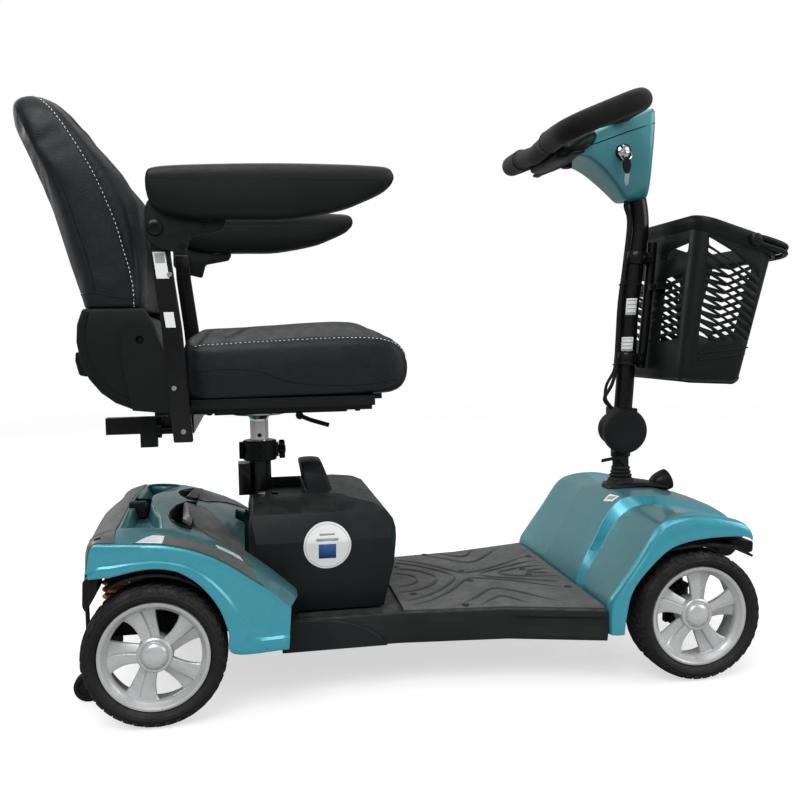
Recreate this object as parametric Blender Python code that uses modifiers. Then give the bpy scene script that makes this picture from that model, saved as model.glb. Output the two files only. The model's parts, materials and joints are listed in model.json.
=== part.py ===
"""Four-wheel mobility scooter with a tiller, a swivel seat on a height-adjustable post and a front basket.

X points forward, Y to the rider's left and Z up, with the ground at Z = 0. Every sub-part is drawn with X
measured from the rear axle; the root empty then moves the whole scooter so that its box is centred on Z.
Units are metres.
"""
import math

import bmesh
import bpy
from mathutils import Matrix, Vector

# Driving dimensions
REAR_AXLE_X = -0.4889       # rear axle in the finished frame
WHEELBASE = 0.938
AXLE_Z = 0.116              # also the rolling radius
TYRE_R = 0.116
RIM_R = 0.0893
WHEEL_Y = 0.230             # wheel centre plane
GAP = 0.0003                # clearance between pieces that touch
WELD = 0.0001
SIDES = {"right": -1, "left": 1}

# Steering: a parallelogram, so every steering arm is parallel to the column's arm
KINGPIN_Y = 0.185
COLUMN_X = 0.903
STEER_ARM = 0.072
ARM_Z = (0.143, 0.150)
PIN_R = 0.003
EYE_R = 0.008
TILT_PIVOT = (0.901, 0.0, 0.424)
TUBE_R = 0.018
HEAD_SOCKET_END = (0.93627, 0.0, 0.895)
TUBE_PATH = [(0.908, 0.462), (0.9125, 0.518), (0.923, 0.678), (0.934, 0.758), (0.944, 0.828), (0.9365, 0.893)]

# Handlebar loop: its plane falls towards the rider
LOOP_FRONT_X = 0.862
LOOP_REAR_X = 0.738
LOOP_HALF_WIDTH = 0.210
LOOP_R = 0.018
LOOP_FRONT_Z = 1.028
LOOP_SLOPE = 0.29
HEAD_HALF_WIDTH = 0.052

# Frame and drive
RAIL_Y = (0.065, 0.085)
RAIL_Z = (0.100, 0.1245)
SWING_PIVOT = (0.150, 0.0, 0.118)
SPRING_X = -0.067
SPRING_Y = 0.150
SPRING_Z = (0.166, 0.2450)
SPRING_R = 0.023
ANTI_TIP_X = -0.126
ANTI_TIP_Y = 0.120
ANTI_TIP_R = 0.025

# Seat
POST_X = 0.179
POST_R = 0.017
BACK_PIVOT = (-0.009, 0.0, 0.622)
BACK_HALF_WIDTH = 0.200
SEAT_HALF_WIDTH = 0.213
RECEIVER_X = (0.0395, 0.0705)
RECEIVER_Z = (0.4665, 0.4972)
WALL = 0.0031
UPRIGHT_Y = (0.250, 0.262)
ARM_PIVOT = (0.027, 0.797)
PAD_Y = (0.243, 0.301)
KNOB_Y = 0.125

# Floor
FLOOR_Z = (0.083, 0.1405)
FLOOR_OUTLINE = [(0.2345, 0.196), (0.408, 0.194), (0.600, 0.214), (0.690, 0.240), (0.7660, 0.262)]

SKIN = 0.003
WHEEL_STEPS = 24


def clear_scene():
    for obj in list(bpy.data.objects):
        bpy.data.objects.remove(obj)


def new_collection(name):
    found = bpy.data.collections.new(name)
    bpy.context.scene.collection.children.link(found)
    return found


def paint(name, color, roughness, metallic=0.0):
    mat = bpy.data.materials.new(name)
    mat.use_nodes = True
    shader = mat.node_tree.nodes["Principled BSDF"]
    shader.inputs["Base Color"].default_value = (*color, 1.0)
    shader.inputs["Roughness"].default_value = roughness
    shader.inputs["Metallic"].default_value = metallic
    return mat


# ---------------------------------------------------------------- shapes

def raw(mesh, name="piece"):
    obj = bpy.data.objects.new(name, mesh)
    PARTS.objects.link(obj)
    return obj


def from_bmesh(bm):
    mesh = bpy.data.meshes.new("piece")
    bm.to_mesh(mesh)
    bm.free()
    return raw(mesh)


def block(x, y, z):
    """A box between two values on each axis."""
    bm = bmesh.new()
    bmesh.ops.create_cube(bm, size=1.0)
    size = [b - a for a, b in (x, y, z)]
    centre = [(a + b) / 2 for a, b in (x, y, z)]
    bm.transform(Matrix.Translation(centre) @ Matrix.Diagonal((*size, 1.0)))
    return from_bmesh(bm)


def rod(start, end, radius, segments=16, end_radius=None):
    """A straight round bar between two points."""
    start, end = Vector(start), Vector(end)
    along = end - start
    bm = bmesh.new()
    bmesh.ops.create_cone(bm, cap_ends=True, segments=segments, radius1=radius,
                          radius2=end_radius or radius, depth=along.length)
    turn = Vector((0, 0, 1)).rotation_difference(along).to_matrix().to_4x4()
    bm.transform(Matrix.Translation((start + end) / 2) @ turn)
    return from_bmesh(bm)


def as_mesh(curve_object):
    """Turns a curve into a mesh with its caps welded on, so that it can be cut and joined."""
    bpy.context.view_layer.update()
    evaluated = curve_object.evaluated_get(bpy.context.evaluated_depsgraph_get())
    mesh = bpy.data.meshes.new_from_object(evaluated)
    bm = bmesh.new()
    bm.from_mesh(mesh)
    bmesh.ops.remove_doubles(bm, verts=bm.verts, dist=WELD)
    bmesh.ops.recalc_face_normals(bm, faces=bm.faces)
    bm.to_mesh(mesh)
    bm.free()
    mesh.transform(curve_object.matrix_world)
    bpy.data.objects.remove(curve_object)
    return raw(mesh)


def poly_curve(points, cyclic):
    curve = bpy.data.curves.new("outline", "CURVE")
    spline = curve.splines.new("POLY")
    spline.points.add(len(points) - 1)
    for slot, point in zip(spline.points, points):
        slot.co = (*point, 1.0)
    spline.use_cyclic_u = cyclic
    return curve


def prism(outline, low, high, plane="xz"):
    """A flat outline extruded between two values on the axis that its plane leaves out."""
    curve = poly_curve([(a, b, 0.0) for a, b in outline], True)
    curve.dimensions = "2D"
    curve.fill_mode = "BOTH"
    curve.extrude = (high - low) / 2
    obj = raw(curve)
    middle = (low + high) / 2
    if plane == "xz":
        obj.matrix_world = Matrix.Translation((0, middle, 0)) @ Matrix.Rotation(math.pi / 2, 4, "X")
    elif plane == "yz":
        turn = Matrix.Rotation(math.pi / 2, 4, "Z") @ Matrix.Rotation(math.pi / 2, 4, "X")
        obj.matrix_world = Matrix.Translation((middle, 0, 0)) @ turn
    else:
        obj.matrix_world = Matrix.Translation((0, 0, middle))
    return as_mesh(obj)


def pipe(points, radius, cyclic=False, resolution=2):
    """A round bar that follows points."""
    curve = poly_curve(points, cyclic)
    curve.dimensions = "3D"
    curve.bevel_depth = radius
    curve.bevel_resolution = resolution
    curve.use_fill_caps = not cyclic
    return as_mesh(raw(curve))


def lathe(profile, centre, towards=(0, 0, 1), steps=24, closed=False):
    """Turns a profile of (radius, height) about the line through centre. It runs down its outer side."""
    mesh = bpy.data.meshes.new("turned")
    last = len(profile) - 1
    edges = [(i, i + 1) for i in range(last)] + ([(last, 0)] if closed else [])
    mesh.from_pydata([(r, 0.0, h) for r, h in profile], edges, [])
    obj = raw(mesh)
    obj.location = centre
    obj.rotation_euler = Vector((0, 0, 1)).rotation_difference(Vector(towards)).to_euler()
    screw = obj.modifiers.new("turn", "SCREW")
    screw.steps = steps
    screw.render_steps = steps
    screw.use_merge_vertices = True
    screw.merge_threshold = WELD
    screw.use_normal_calculate = False
    return obj


def boolean(target, tools, operation):
    for tool in tools:
        PARTS.objects.unlink(tool)
        CUTTERS.objects.link(tool)
        tool.hide_render = True
        tool.display_type = "WIRE"
        modifier = target.modifiers.new(operation.lower(), "BOOLEAN")
        modifier.operation = operation
        modifier.solver = "EXACT"
        modifier.object = tool
    return target


def fuse(target, *tools):
    return boolean(target, tools, "UNION")


def cut(target, *tools):
    return boolean(target, tools, "DIFFERENCE")


def part(name, obj, material, origin=None):
    """Names a finished sub-part and puts its origin at a point, such as one on its joint's axis."""
    obj.name = name
    obj.data.name = name
    obj.data.materials.clear()
    obj.data.materials.append(material)
    if origin is not None:
        shift = Vector(origin) - obj.location
        obj.data.transform(Matrix.Translation(-shift))
        obj.location = origin
    obj.data.shade_smooth()
    obj.data.set_sharp_from_angle(angle=math.radians(32))
    return obj


def span(side, low, high):
    """A Y interval on one side of the scooter, lowest value first."""
    return (low, high) if side > 0 else (-high, -low)


# ---------------------------------------------------------------- wheels

def spoke_windows(centre, towards):
    """Five openings between the spokes, as cutters in the wheel's own plane."""
    turn = Vector((0, 0, 1)).rotation_difference(Vector(towards)).to_matrix().to_4x4()
    windows = []
    for k in range(5):
        middle = math.radians(90 + 72 * k)
        corners = [(0.038, -0.30), (0.0725, -0.33), (0.0725, 0.33), (0.038, 0.30)]
        outline = [(r * math.cos(middle + a), r * math.sin(middle + a)) for r, a in corners]
        tool = prism(outline, -0.002, 0.050, "xy")
        tool.matrix_world = Matrix.Translation(centre) @ turn
        windows.append(tool)
    return windows


def wheel(name, x, side):
    centre = (x, side * WHEEL_Y, AXLE_Z)
    outward = (0, side, 0)
    tread = [(RIM_R + GAP, 0.030), (0.100, 0.040), (0.108, 0.038), (TYRE_R, 0.022),
             (TYRE_R, -0.022), (0.108, -0.038), (0.100, -0.040), (RIM_R + GAP, -0.030)]
    part(name + "_tyre", lathe(tread, centre, outward, WHEEL_STEPS, closed=True), RUBBER)
    profile = [(0.0, 0.030), (0.021, 0.028), (0.026, 0.020), (0.074, 0.022), (0.079, 0.032),
               (RIM_R, 0.032), (RIM_R, -0.032), (0.083, -0.032), (0.079, 0.010), (0.030, 0.006),
               (0.027, -0.026), (0.013, -0.026), (0.013, 0.010), (0.0, 0.010)]
    rim = lathe(profile, centre, outward, WHEEL_STEPS)
    cut(rim, *spoke_windows(centre, outward))
    part(name + "_rim", rim, SILVER)


def wheels():
    for label, side in SIDES.items():
        wheel("rear_" + label, 0.0, side)
        wheel("front_" + label, WHEELBASE, side)


# ---------------------------------------------------------------- chassis

def rear_frame():
    rails = []
    for side in SIDES.values():
        middle = side * sum(RAIL_Y) / 2
        rails.append(block((0.138, 0.416), span(side, *RAIL_Y), RAIL_Z))
        rails.append(pipe([(0.156, middle, 0.112), (0.142, middle, 0.1165), (0.120, middle, 0.224),
                           (0.106, middle, 0.236), (-0.088, middle, 0.236)], 0.0115, resolution=1))
    shelf = block((-0.094, -0.040), (-0.176, 0.176), (SPRING_Z[1] + GAP, 0.2515))
    cross = block((0.380, 0.410), (-RAIL_Y[1], RAIL_Y[1]), (0.102, 0.120))
    x, _, z = SWING_PIVOT
    pin = rod((x, -0.131, z), (x, 0.131, z), 0.006, 12)
    part("rear_frame", fuse(shelf, cross, pin, *rails), STEEL)


def front_frame():
    beam = block((0.918, 0.958), (-0.1615, 0.1615), (0.095, 0.128))
    pieces = [block((0.9200, 0.950), (-0.020, 0.020), (0.110, 0.285)),
              lathe([(0.022, 0.300), (0.022, 0.190), (0.016, 0.190), (0.016, 0.300)],
                    (COLUMN_X, 0, 0), closed=True, steps=16)]
    for side in SIDES.values():
        pieces.append(block((0.4165, 0.930), span(side, *RAIL_Y), RAIL_Z))
        pieces.append(block((0.921, 0.955), span(side, 0.150, 0.162), (0.0750, 0.1580)))
        pieces.append(block((0.926, 0.950), span(side, 0.155, 0.196), (0.1503, 0.1575)))
        pieces.append(block((0.926, 0.950), span(side, 0.155, 0.196), (0.0755, 0.0847)))
        kingpin = (WHEELBASE, side * KINGPIN_Y)
        pieces.append(rod((*kingpin, 0.070), (*kingpin, 0.168), 0.0057, 12))
    part("front_frame", fuse(beam, *pieces), STEEL)


def knuckle(label, side):
    x, y = WHEELBASE, side * KINGPIN_Y
    sleeve = lathe([(0.015, 0.150), (0.015, 0.085), (0.0065, 0.085), (0.0065, 0.150)],
                   (x, y, 0), closed=True, steps=16)
    stub = rod((x, side * 0.1975, AXLE_Z), (x, side * 0.2385, AXLE_Z), 0.0125)
    arm = block((x - STEER_ARM - 0.010, x - 0.0080), span(side, 0.1770, 0.1930), ARM_Z)
    pin = rod((x - STEER_ARM, y, 0.148), (x - STEER_ARM, y, rod_level(side) + 0.006), PIN_R, 12)
    part("steering_knuckle_" + label, fuse(sleeve, stub, arm, pin), STEEL)


def rod_level(side):
    """The two tie rods share one pin on the column, so the left one lies above the right one."""
    return 0.1545 if side < 0 else 0.1635


def tie_rod(label, side):
    z = rod_level(side)
    inner = Vector((COLUMN_X - STEER_ARM, 0.0, z))
    outer = Vector((WHEELBASE - STEER_ARM, side * KINGPIN_Y, z))
    half = 0.0040
    bar = rod(inner, outer, 0.0032, 8)
    eyes = [rod(end - Vector((0, 0, half)), end + Vector((0, 0, half)), EYE_R, 16) for end in (inner, outer)]
    holes = [rod(end - Vector((0, 0, 0.01)), end + Vector((0, 0, 0.01)), PIN_R + 0.0006, 12)
             for end in (inner, outer)]
    obj = fuse(eyes[0], bar, eyes[1])
    part("tie_rod_" + label, cut(obj, *holes), STEEL, inner)


def steering_column():
    x = COLUMN_X
    shaft = rod((x, 0, 0.135), (x, 0, 0.375), 0.0155)
    arm = block((x - STEER_ARM - 0.010, x - 0.006), (-0.010, 0.010), ARM_Z)
    pin = rod((x - STEER_ARM, 0, 0.148), (x - STEER_ARM, 0, 0.1695), PIN_R, 12)
    px, _, pz = TILT_PIVOT
    tongue = block((px - 0.014, px + 0.014), (-0.012, 0.012), (0.368, pz))
    crown = rod((px, -0.012, pz), (px, 0.012, pz), 0.014)
    bore = rod((px, -0.020, pz), (px, 0.020, pz), 0.0057, 12)
    part("steering_column", cut(fuse(shaft, arm, pin, tongue, crown), bore), STEEL)


def tilt_lever():
    """Releases the tiller's tilt lock. It turns on the column's right side."""
    y = (-0.0205, -0.0163)
    lever = prism([(0.854, 0.361), (0.888, 0.366), (0.905, 0.352), (0.911, 0.362), (0.898, 0.374),
                   (0.856, 0.368)], *y)
    part("tilt_lever", lever, STEEL, (0.903, -0.018, 0.362))


# ---------------------------------------------------------------- tiller

def loop_z(x):
    return LOOP_FRONT_Z + LOOP_SLOPE * (x - LOOP_FRONT_X)


def tube_points():
    return [(x, 0.0, z) for x, z in TUBE_PATH]


def tiller_tube():
    px, _, pz = TILT_PIVOT
    tube = pipe(tube_points(), TUBE_R, resolution=2)
    bridge = block((0.884, 0.926), (-0.034, 0.034), (0.446, 0.470))
    cheeks = [rod((px, side * 0.0125, pz), (px, side * 0.034, pz), 0.045, 28) for side in (-1, 1)]
    bolt = rod((px, -0.034, pz), (px, 0.034, pz), 0.005, 12)
    part("tiller_tube", fuse(tube, bridge, *cheeks, bolt), STEEL, TILT_PIVOT)


def tiller_head():
    deck = loop_z(0) - LOOP_R - 0.0025
    outline = [(0.880, 0.869), (0.942, 0.885), (0.943, deck + LOOP_SLOPE * 0.943),
               (0.771, deck + LOOP_SLOPE * 0.771), (0.768, 0.970), (0.815, 0.962)]
    head = prism(outline, -HEAD_HALF_WIDTH, HEAD_HALF_WIDTH)
    socket = pipe([*tube_points()[:-1], HEAD_SOCKET_END], TUBE_R + 0.0008, resolution=2)
    part("tiller_head", cut(head, socket), TEAL)


def handlebar():
    corner = 0.055
    straight_x = (LOOP_REAR_X + corner, LOOP_FRONT_X - corner)
    straight_y = LOOP_HALF_WIDTH - LOOP_R - corner
    points = []
    for quarter in range(4):
        cx = straight_x[1] if quarter in (0, 3) else straight_x[0]
        cy = straight_y if quarter in (0, 1) else -straight_y
        for step in range(4):
            angle = math.radians(90 * quarter + 30 * step)
            x = cx + corner * math.cos(angle)
            points.append((x, cy + corner * math.sin(angle), loop_z(x)))
    part("handlebar", pipe(points, LOOP_R, cyclic=True, resolution=1), BLACK)


def control_panel():
    base = loop_z(0) - LOOP_R - 0.0022
    outline = [(x, base + LOOP_SLOPE * x + lift) for x, lift in
               ((0.767, 0.0), (0.838, 0.0), (0.838, 0.012), (0.767, 0.008))]
    part("control_panel", prism(outline, -0.070, 0.070), BLACK)


def panel_point(x, y, height):
    """A point above the control panel's sloping top face."""
    slope = math.atan(LOOP_SLOPE + 0.004 / 0.071)
    top = loop_z(x) - LOOP_R - 0.0022 + 0.008 + 0.004 * (x - 0.767) / 0.071
    normal = Vector((-math.sin(slope), 0, math.cos(slope)))
    return Vector((x, y, top)) + normal * height


def panel_buttons():
    low, high = panel_point(0.800, 0.0, 0.0006), panel_point(0.800, 0.0, 0.012)
    part("speed_dial", rod(low, high, 0.014, 20, 0.012), BLACK, low)
    low, high = panel_point(0.800, 0.045, 0.0032), panel_point(0.800, 0.045, 0.0072)
    part("horn_button", rod(low, high, 0.008, 16), RED, low)


def key():
    x, z = 0.884, 0.967
    face = -HEAD_HALF_WIDTH - GAP
    barrel = rod((x, face - 0.012, z), (x, face, z), 0.0085)
    bow = block((x - 0.009, x + 0.009), (face - 0.0095, face - 0.0065), (0.920, z))
    part("ignition_key", fuse(barrel, bow), CHROME, (x, face, z))


def throttle_lever():
    wings = prism([(0.770, -0.118), (0.762, -0.112), (0.768, 0.0), (0.762, 0.112), (0.770, 0.118),
                   (0.782, 0.100), (0.786, 0.0), (0.782, -0.100)], 0.9455, 0.9545, "xy")
    hub = rod((0.790, 0, 0.9460), (0.790, 0, 0.9635), 0.011)
    part("throttle_lever", fuse(wings, hub), BLACK, (0.790, 0, 0.950))


def tiller_cable():
    points = [(0.8925, 0, 0.862), (0.917, 0, 0.828)]
    points += [(x - 0.0245, 0.0, z) for x, z in ((0.934, 0.758), (0.923, 0.678), (0.9125, 0.518))]
    points += [(0.872, 0, 0.492), (0.862, 0, 0.472)]
    part("tiller_cable", pipe(points, 0.005, resolution=1), BLACK)


def basket():
    outer = [(0.9915, 0.836), (1.098, 0.800), (1.148, 0.785), (1.158, 0.762), (1.150, 0.743),
             (1.131, 0.691), (1.081, 0.532), (1.051, 0.518), (0.9555, 0.530)]
    inner = [(1.0000, 0.900), (1.1500, 0.860), (1.1440, 0.780), (1.1265, 0.691), (1.0780, 0.537),
             (1.0505, 0.5235), (0.9602, 0.5345), (0.9960, 0.834)]
    shell = prism(outer, -0.155, 0.155)
    part("basket", cut(shell, prism(inner, -0.151, 0.151)), BLACK)


def basket_bracket():
    bar = pipe([(0.9715, 0, 0.790), (0.9455, 0, 0.545)], 0.0095, resolution=1)
    clamps = [block((0.9365, 0.9700), (-0.026, 0.026), (0.750, 0.785)),
              block((0.9165, 0.9460), (-0.026, 0.026), (0.550, 0.585))]
    socket = pipe(tube_points(), TUBE_R + 0.0005, resolution=2)
    part("basket_bracket", cut(fuse(bar, *clamps), socket), STEEL)


def basket_handle():
    x, z = 1.098, 0.788
    half = [(x, 0.1630, z), (1.158, 0.1630, 0.772), (1.1665, 0.1570, 0.769)]
    points = half + [(px, -py, pz) for px, py, pz in reversed(half)]
    part("basket_handle", pipe(points, 0.0045, resolution=1), BLACK, (x, 0, z))


# ---------------------------------------------------------------- drive

def transaxle():
    """Axle housing with its gearbox and motor, the swing arms and the spring perches."""
    housing = rod((0, -0.197, AXLE_Z), (0, 0.197, AXLE_Z), 0.024, 20)
    pieces = [rod((0, -0.030, AXLE_Z), (0, 0.045, AXLE_Z), 0.056, 24),
              rod((0.040, 0.008, AXLE_Z), (0.128, 0.008, AXLE_Z), 0.040, 24)]
    x, _, z = SWING_PIVOT
    holes = []
    for side in SIDES.values():
        pieces.append(rod((0, side * 0.190, AXLE_Z), (0, side * 0.2385, AXLE_Z), 0.0125))
        arm = [(-0.020, 0.100), (0.140, 0.106), (0.163, 0.110), (0.163, 0.128), (0.140, 0.132), (-0.020, 0.132)]
        pieces.append(prism(arm, *span(side, 0.113, 0.123)))
        perch = block((SPRING_X - 0.028, 0.010), span(side, 0.126, 0.176), (0.128, SPRING_Z[0] - 0.0005))
        pieces.append(perch)
        holes.append(rod((x, side * 0.105, z), (x, side * 0.130, z), 0.0066, 12))
    part("transaxle", cut(fuse(housing, *pieces), *holes), STEEL, (0, 0, AXLE_Z))


def spring(label, side):
    turns, per_turn, wire = 4.5, 10, 0.0032
    low, high = SPRING_Z[0] + wire, SPRING_Z[1] - wire
    count = int(turns * per_turn)
    points = []
    for k in range(count + 1):
        angle = 2 * math.pi * k / per_turn
        z = low + (high - low) * k / count
        points.append((SPRING_X + SPRING_R * math.cos(angle), side * SPRING_Y + SPRING_R * math.sin(angle), z))
    part("suspension_spring_" + label, pipe(points, wire, resolution=0), ORANGE)


def anti_tip():
    legs = []
    for side in SIDES.values():
        y = side * ANTI_TIP_Y
        inner = y - side * 0.0135
        legs.append(pipe([(-0.108, inner, 0.232), (-0.126, inner, 0.170), (ANTI_TIP_X, inner, 0.016)],
                         0.0040, resolution=1))
        legs.append(rod((ANTI_TIP_X, y - side * 0.0150, ANTI_TIP_R), (ANTI_TIP_X, y + side * 0.0120, ANTI_TIP_R),
                        0.004, 12))
    bar = rod((-0.108, -0.112, 0.232), (-0.108, 0.112, 0.232), 0.0060, 12)
    part("anti_tip_bracket", fuse(bar, *legs), STEEL)
    for label, side in SIDES.items():
        ring = [(ANTI_TIP_R, 0.009), (ANTI_TIP_R, -0.009), (0.0045, -0.009), (0.0045, 0.009)]
        centre = (ANTI_TIP_X, side * ANTI_TIP_Y, ANTI_TIP_R)
        part("anti_tip_wheel_" + label, lathe(ring, centre, (0, side, 0), 24, closed=True), RUBBER)


# ---------------------------------------------------------------- seat

def seat_post_socket():
    bore, wall = POST_R + 0.0004, 0.0205
    ring = [(wall, 0.392), (wall, 0.1252), (bore, 0.1252), (bore, 0.430), (0.029, 0.430), (0.029, 0.392)]
    tube = lathe(list(reversed(ring)), (POST_X, 0, 0), steps=20, closed=True)
    housing = block((0.138, 0.1605), (-0.022, 0.022), (0.329, 0.388))
    foot = cut(block((0.157, 0.208), (-0.0860, 0.0860), (RAIL_Z[1] + GAP, 0.131)),
               rod((POST_X, 0, 0.10), (POST_X, 0, 0.20), 0.019, 20))
    lug = block((0.205, 0.214), (-0.010, 0.010), (0.398, 0.424))
    part("seat_post_socket", fuse(tube, housing, foot, lug), STEEL)


def post_knob():
    z, lobes = 0.411, 6
    outline = []
    for k in range(lobes * 2):
        radius = 0.0185 if k % 2 == 0 else 0.0145
        angle = math.pi * k / lobes
        outline.append((radius * math.cos(angle), z + radius * math.sin(angle)))
    star = prism(outline, 0.1405, POST_X - 0.029 - GAP, "yz")
    part("post_knob", star, BLACK, (0.145, 0, z))


def seat_post():
    top, z_flange = 0.4853, 0.4790
    profile = [(0.0, top), (0.050, top), (0.050, z_flange), (POST_R, z_flange), (POST_R, 0.290),
               (0.0145, 0.290), (0.0145, 0.470), (0.0, 0.470)]
    part("seat_post", lathe(profile, (POST_X, 0, 0), steps=20), CHROME)


def swivel_plate():
    part("swivel_plate", block((0.100, 0.337), (-0.090, 0.090), (0.4858, 0.4970)), STEEL, (POST_X, 0, 0.49))


def swivel_lever():
    y = -0.100
    arm = pipe([(0.250, y, 0.482), (0.268, y, 0.474), (0.302, y, 0.463)], 0.0045, resolution=1)
    hub = rod((0.250, y - 0.004, 0.482), (0.250, -0.0905, 0.482), 0.007, 12)
    part("swivel_lever", fuse(hub, arm), BLACK, (0.250, y, 0.482))


def seat_pan():
    """Seat base with the two recliner plates that carry the backrest's pivot."""
    base = block((0.030, 0.336), (-0.100, 0.100), (0.4975, 0.5060))
    tray = block((0.068, 0.372), (-0.205, 0.205), (0.5050, 0.5217))
    cross = block((0.034, 0.072), (-0.2140, 0.2140), (0.4978, 0.5120))
    x, _, z = BACK_PIVOT
    pieces, holes = [tray, cross], []
    for side in SIDES.values():
        plate = [(-0.024, 0.508), (0.062, 0.4985), (0.064, 0.512), (0.014, 0.640), (-0.032, 0.640), (-0.040, 0.600)]
        pieces.append(prism(plate, *span(side, 0.2035, 0.2135)))
        holes.append(rod((x, side * 0.195, z), (x, side * 0.220, z), 0.0067, 12))
    part("seat_pan", cut(fuse(base, *pieces), *holes), BLACK)


def soften(obj, width, segments=2):
    bevel = obj.modifiers.new("soft edges", "BEVEL")
    bevel.width = width
    bevel.segments = segments
    bevel.limit_method = "ANGLE"
    bevel.angle_limit = math.radians(50)
    return obj


def seat_cushion():
    outline = [(0.053, 0.560), (0.053, 0.628), (0.110, 0.634), (0.200, 0.640), (0.314, 0.643),
               (0.381, 0.639), (0.424, 0.622), (0.438, 0.600), (0.430, 0.560), (0.413, 0.527),
               (0.380, 0.5222), (0.066, 0.5222)]
    part("seat_cushion", soften(prism(outline, -SEAT_HALF_WIDTH, SEAT_HALF_WIDTH), 0.012), LEATHER)


def backrest():
    x, _, z = BACK_PIVOT
    outline = [(-0.100, 0.673), (-0.108, 0.640), (-0.105, 0.600), (-0.092, 0.560), (-0.070, 0.532),
               (-0.037, 0.511), (0.002, 0.507), (0.027, 0.541), (0.030, 0.600), (0.018, 0.640), (-0.004, 0.673)]
    shell = prism(outline, -BACK_HALF_WIDTH, BACK_HALF_WIDTH)
    pin = rod((x, -0.222, z), (x, 0.222, z), 0.006, 12)
    part("backrest_shell", fuse(shell, pin), BLACK, BACK_PIVOT)
    outline = [(-0.105, 0.6735), (-0.110, 0.720), (-0.126, 0.775), (-0.151, 0.861), (-0.176, 0.940),
               (-0.195, 0.980), (-0.186, 0.998), (-0.152, 1.008), (-0.114, 0.999), (-0.086, 0.969),
               (-0.052, 0.914), (-0.020, 0.880), (0.000, 0.846), (0.004, 0.780), (0.000, 0.720), (-0.006, 0.6735)]
    cushion = prism(outline, -BACK_HALF_WIDTH, BACK_HALF_WIDTH)
    part("backrest_cushion", soften(cushion, 0.010), LEATHER, BACK_PIVOT)


def armrest_receiver():
    """Square tube under the seat that takes both armrest bars, with a stub bar behind it."""
    tube = block(RECEIVER_X, (-0.195, 0.195), RECEIVER_Z)
    bore = block((RECEIVER_X[0] + WALL, RECEIVER_X[1] - WALL), (-0.2, 0.2),
                 (RECEIVER_Z[0] + WALL, RECEIVER_Z[1] - WALL))
    stub = block((-0.085, 0.0400), (-0.095, -0.070), (0.458, 0.487))
    part("armrest_receiver", cut(fuse(tube, stub), bore), STEEL)


def armrest_upright(label, side):
    play = WALL + 0.0004
    bar = block((RECEIVER_X[0] + play, RECEIVER_X[1] - play), span(side, 0.060, 0.2550),
                (RECEIVER_Z[0] + play, RECEIVER_Z[1] - play))
    post = prism([(0.042, 0.459), (0.073, 0.459), (0.049, 0.748), (0.046, 0.800), (0.016, 0.800), (0.019, 0.748)],
                 *span(side, *UPRIGHT_Y))
    x, z = ARM_PIVOT
    hole = rod((x, side * 0.24, z - 0.004), (x, side * 0.27, z - 0.004), 0.0056, 12)
    part("armrest_upright_" + label, cut(fuse(post, bar), hole), STEEL)


def armrest(label, side):
    x, z = ARM_PIVOT[0], ARM_PIVOT[1] - 0.004
    plate = [(0.013, 0.775), (0.030, 0.762), (0.071, 0.752), (0.079, 0.780), (0.135, 0.790), (0.135, 0.8030),
             (0.0965, 0.8030), (0.0180, 0.8380), (0.013, 0.822)]
    bracket = prism(plate, *span(side, 0.2625, 0.2745))
    bolt = rod((x, side * 0.2480, z), (x, side * 0.2770, z), 0.005, 12)
    part("armrest_bracket_" + label, fuse(bracket, bolt), STEEL, (x, side * 0.2685, z))
    outline = [(0.018, 0.840), (0.016, 0.872), (0.050, 0.882), (0.249, 0.890), (0.386, 0.887), (0.396, 0.876),
               (0.395, 0.862), (0.380, 0.848), (0.309, 0.819), (0.232, 0.8045), (0.097, 0.8040)]
    pad = prism(list(reversed(outline)), *span(side, *PAD_Y))
    part("armrest_pad_" + label, soften(pad, 0.006, 1), BLACK, (x, side * 0.2685, z))


def width_knob(label, side):
    """Hand knob whose bolt presses on the armrest bar from behind."""
    y, z = side * KNOB_Y, 0.4645
    wing = block((-0.023, 0.005), (y - 0.009, y + 0.009), (z - 0.026, z + 0.026))
    bolt = rod((0.000, y, z), (RECEIVER_X[0] - GAP, y, z), 0.0050, 12)
    hub = rod((0.004, y, z), (0.012, y, z), 0.011, 12)
    part("width_knob_" + label, fuse(wing, hub, bolt), BLACK, (0, y, z))


# ---------------------------------------------------------------- body shell

def half_shell(rows, openings):
    """A half shell from rows of points (station by station), mirrored in Y and given its wall inwards."""
    bm = bmesh.new()
    grid = [[bm.verts.new(p) for p in row] for row in rows]
    for a, b in zip(grid, grid[1:]):
        for i in range(len(a) - 1):
            bm.faces.new((a[i], b[i], b[i + 1], a[i + 1]))
    obj = from_bmesh(bm)
    mirror = obj.modifiers.new("other half", "MIRROR")
    mirror.use_axis = (False, True, False)
    mirror.use_clip = True
    mirror.merge_threshold = WELD
    solid = obj.modifiers.new("wall", "SOLIDIFY")
    solid.thickness = SKIN
    solid.offset = -1.0
    return cut(obj, *openings)


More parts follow.
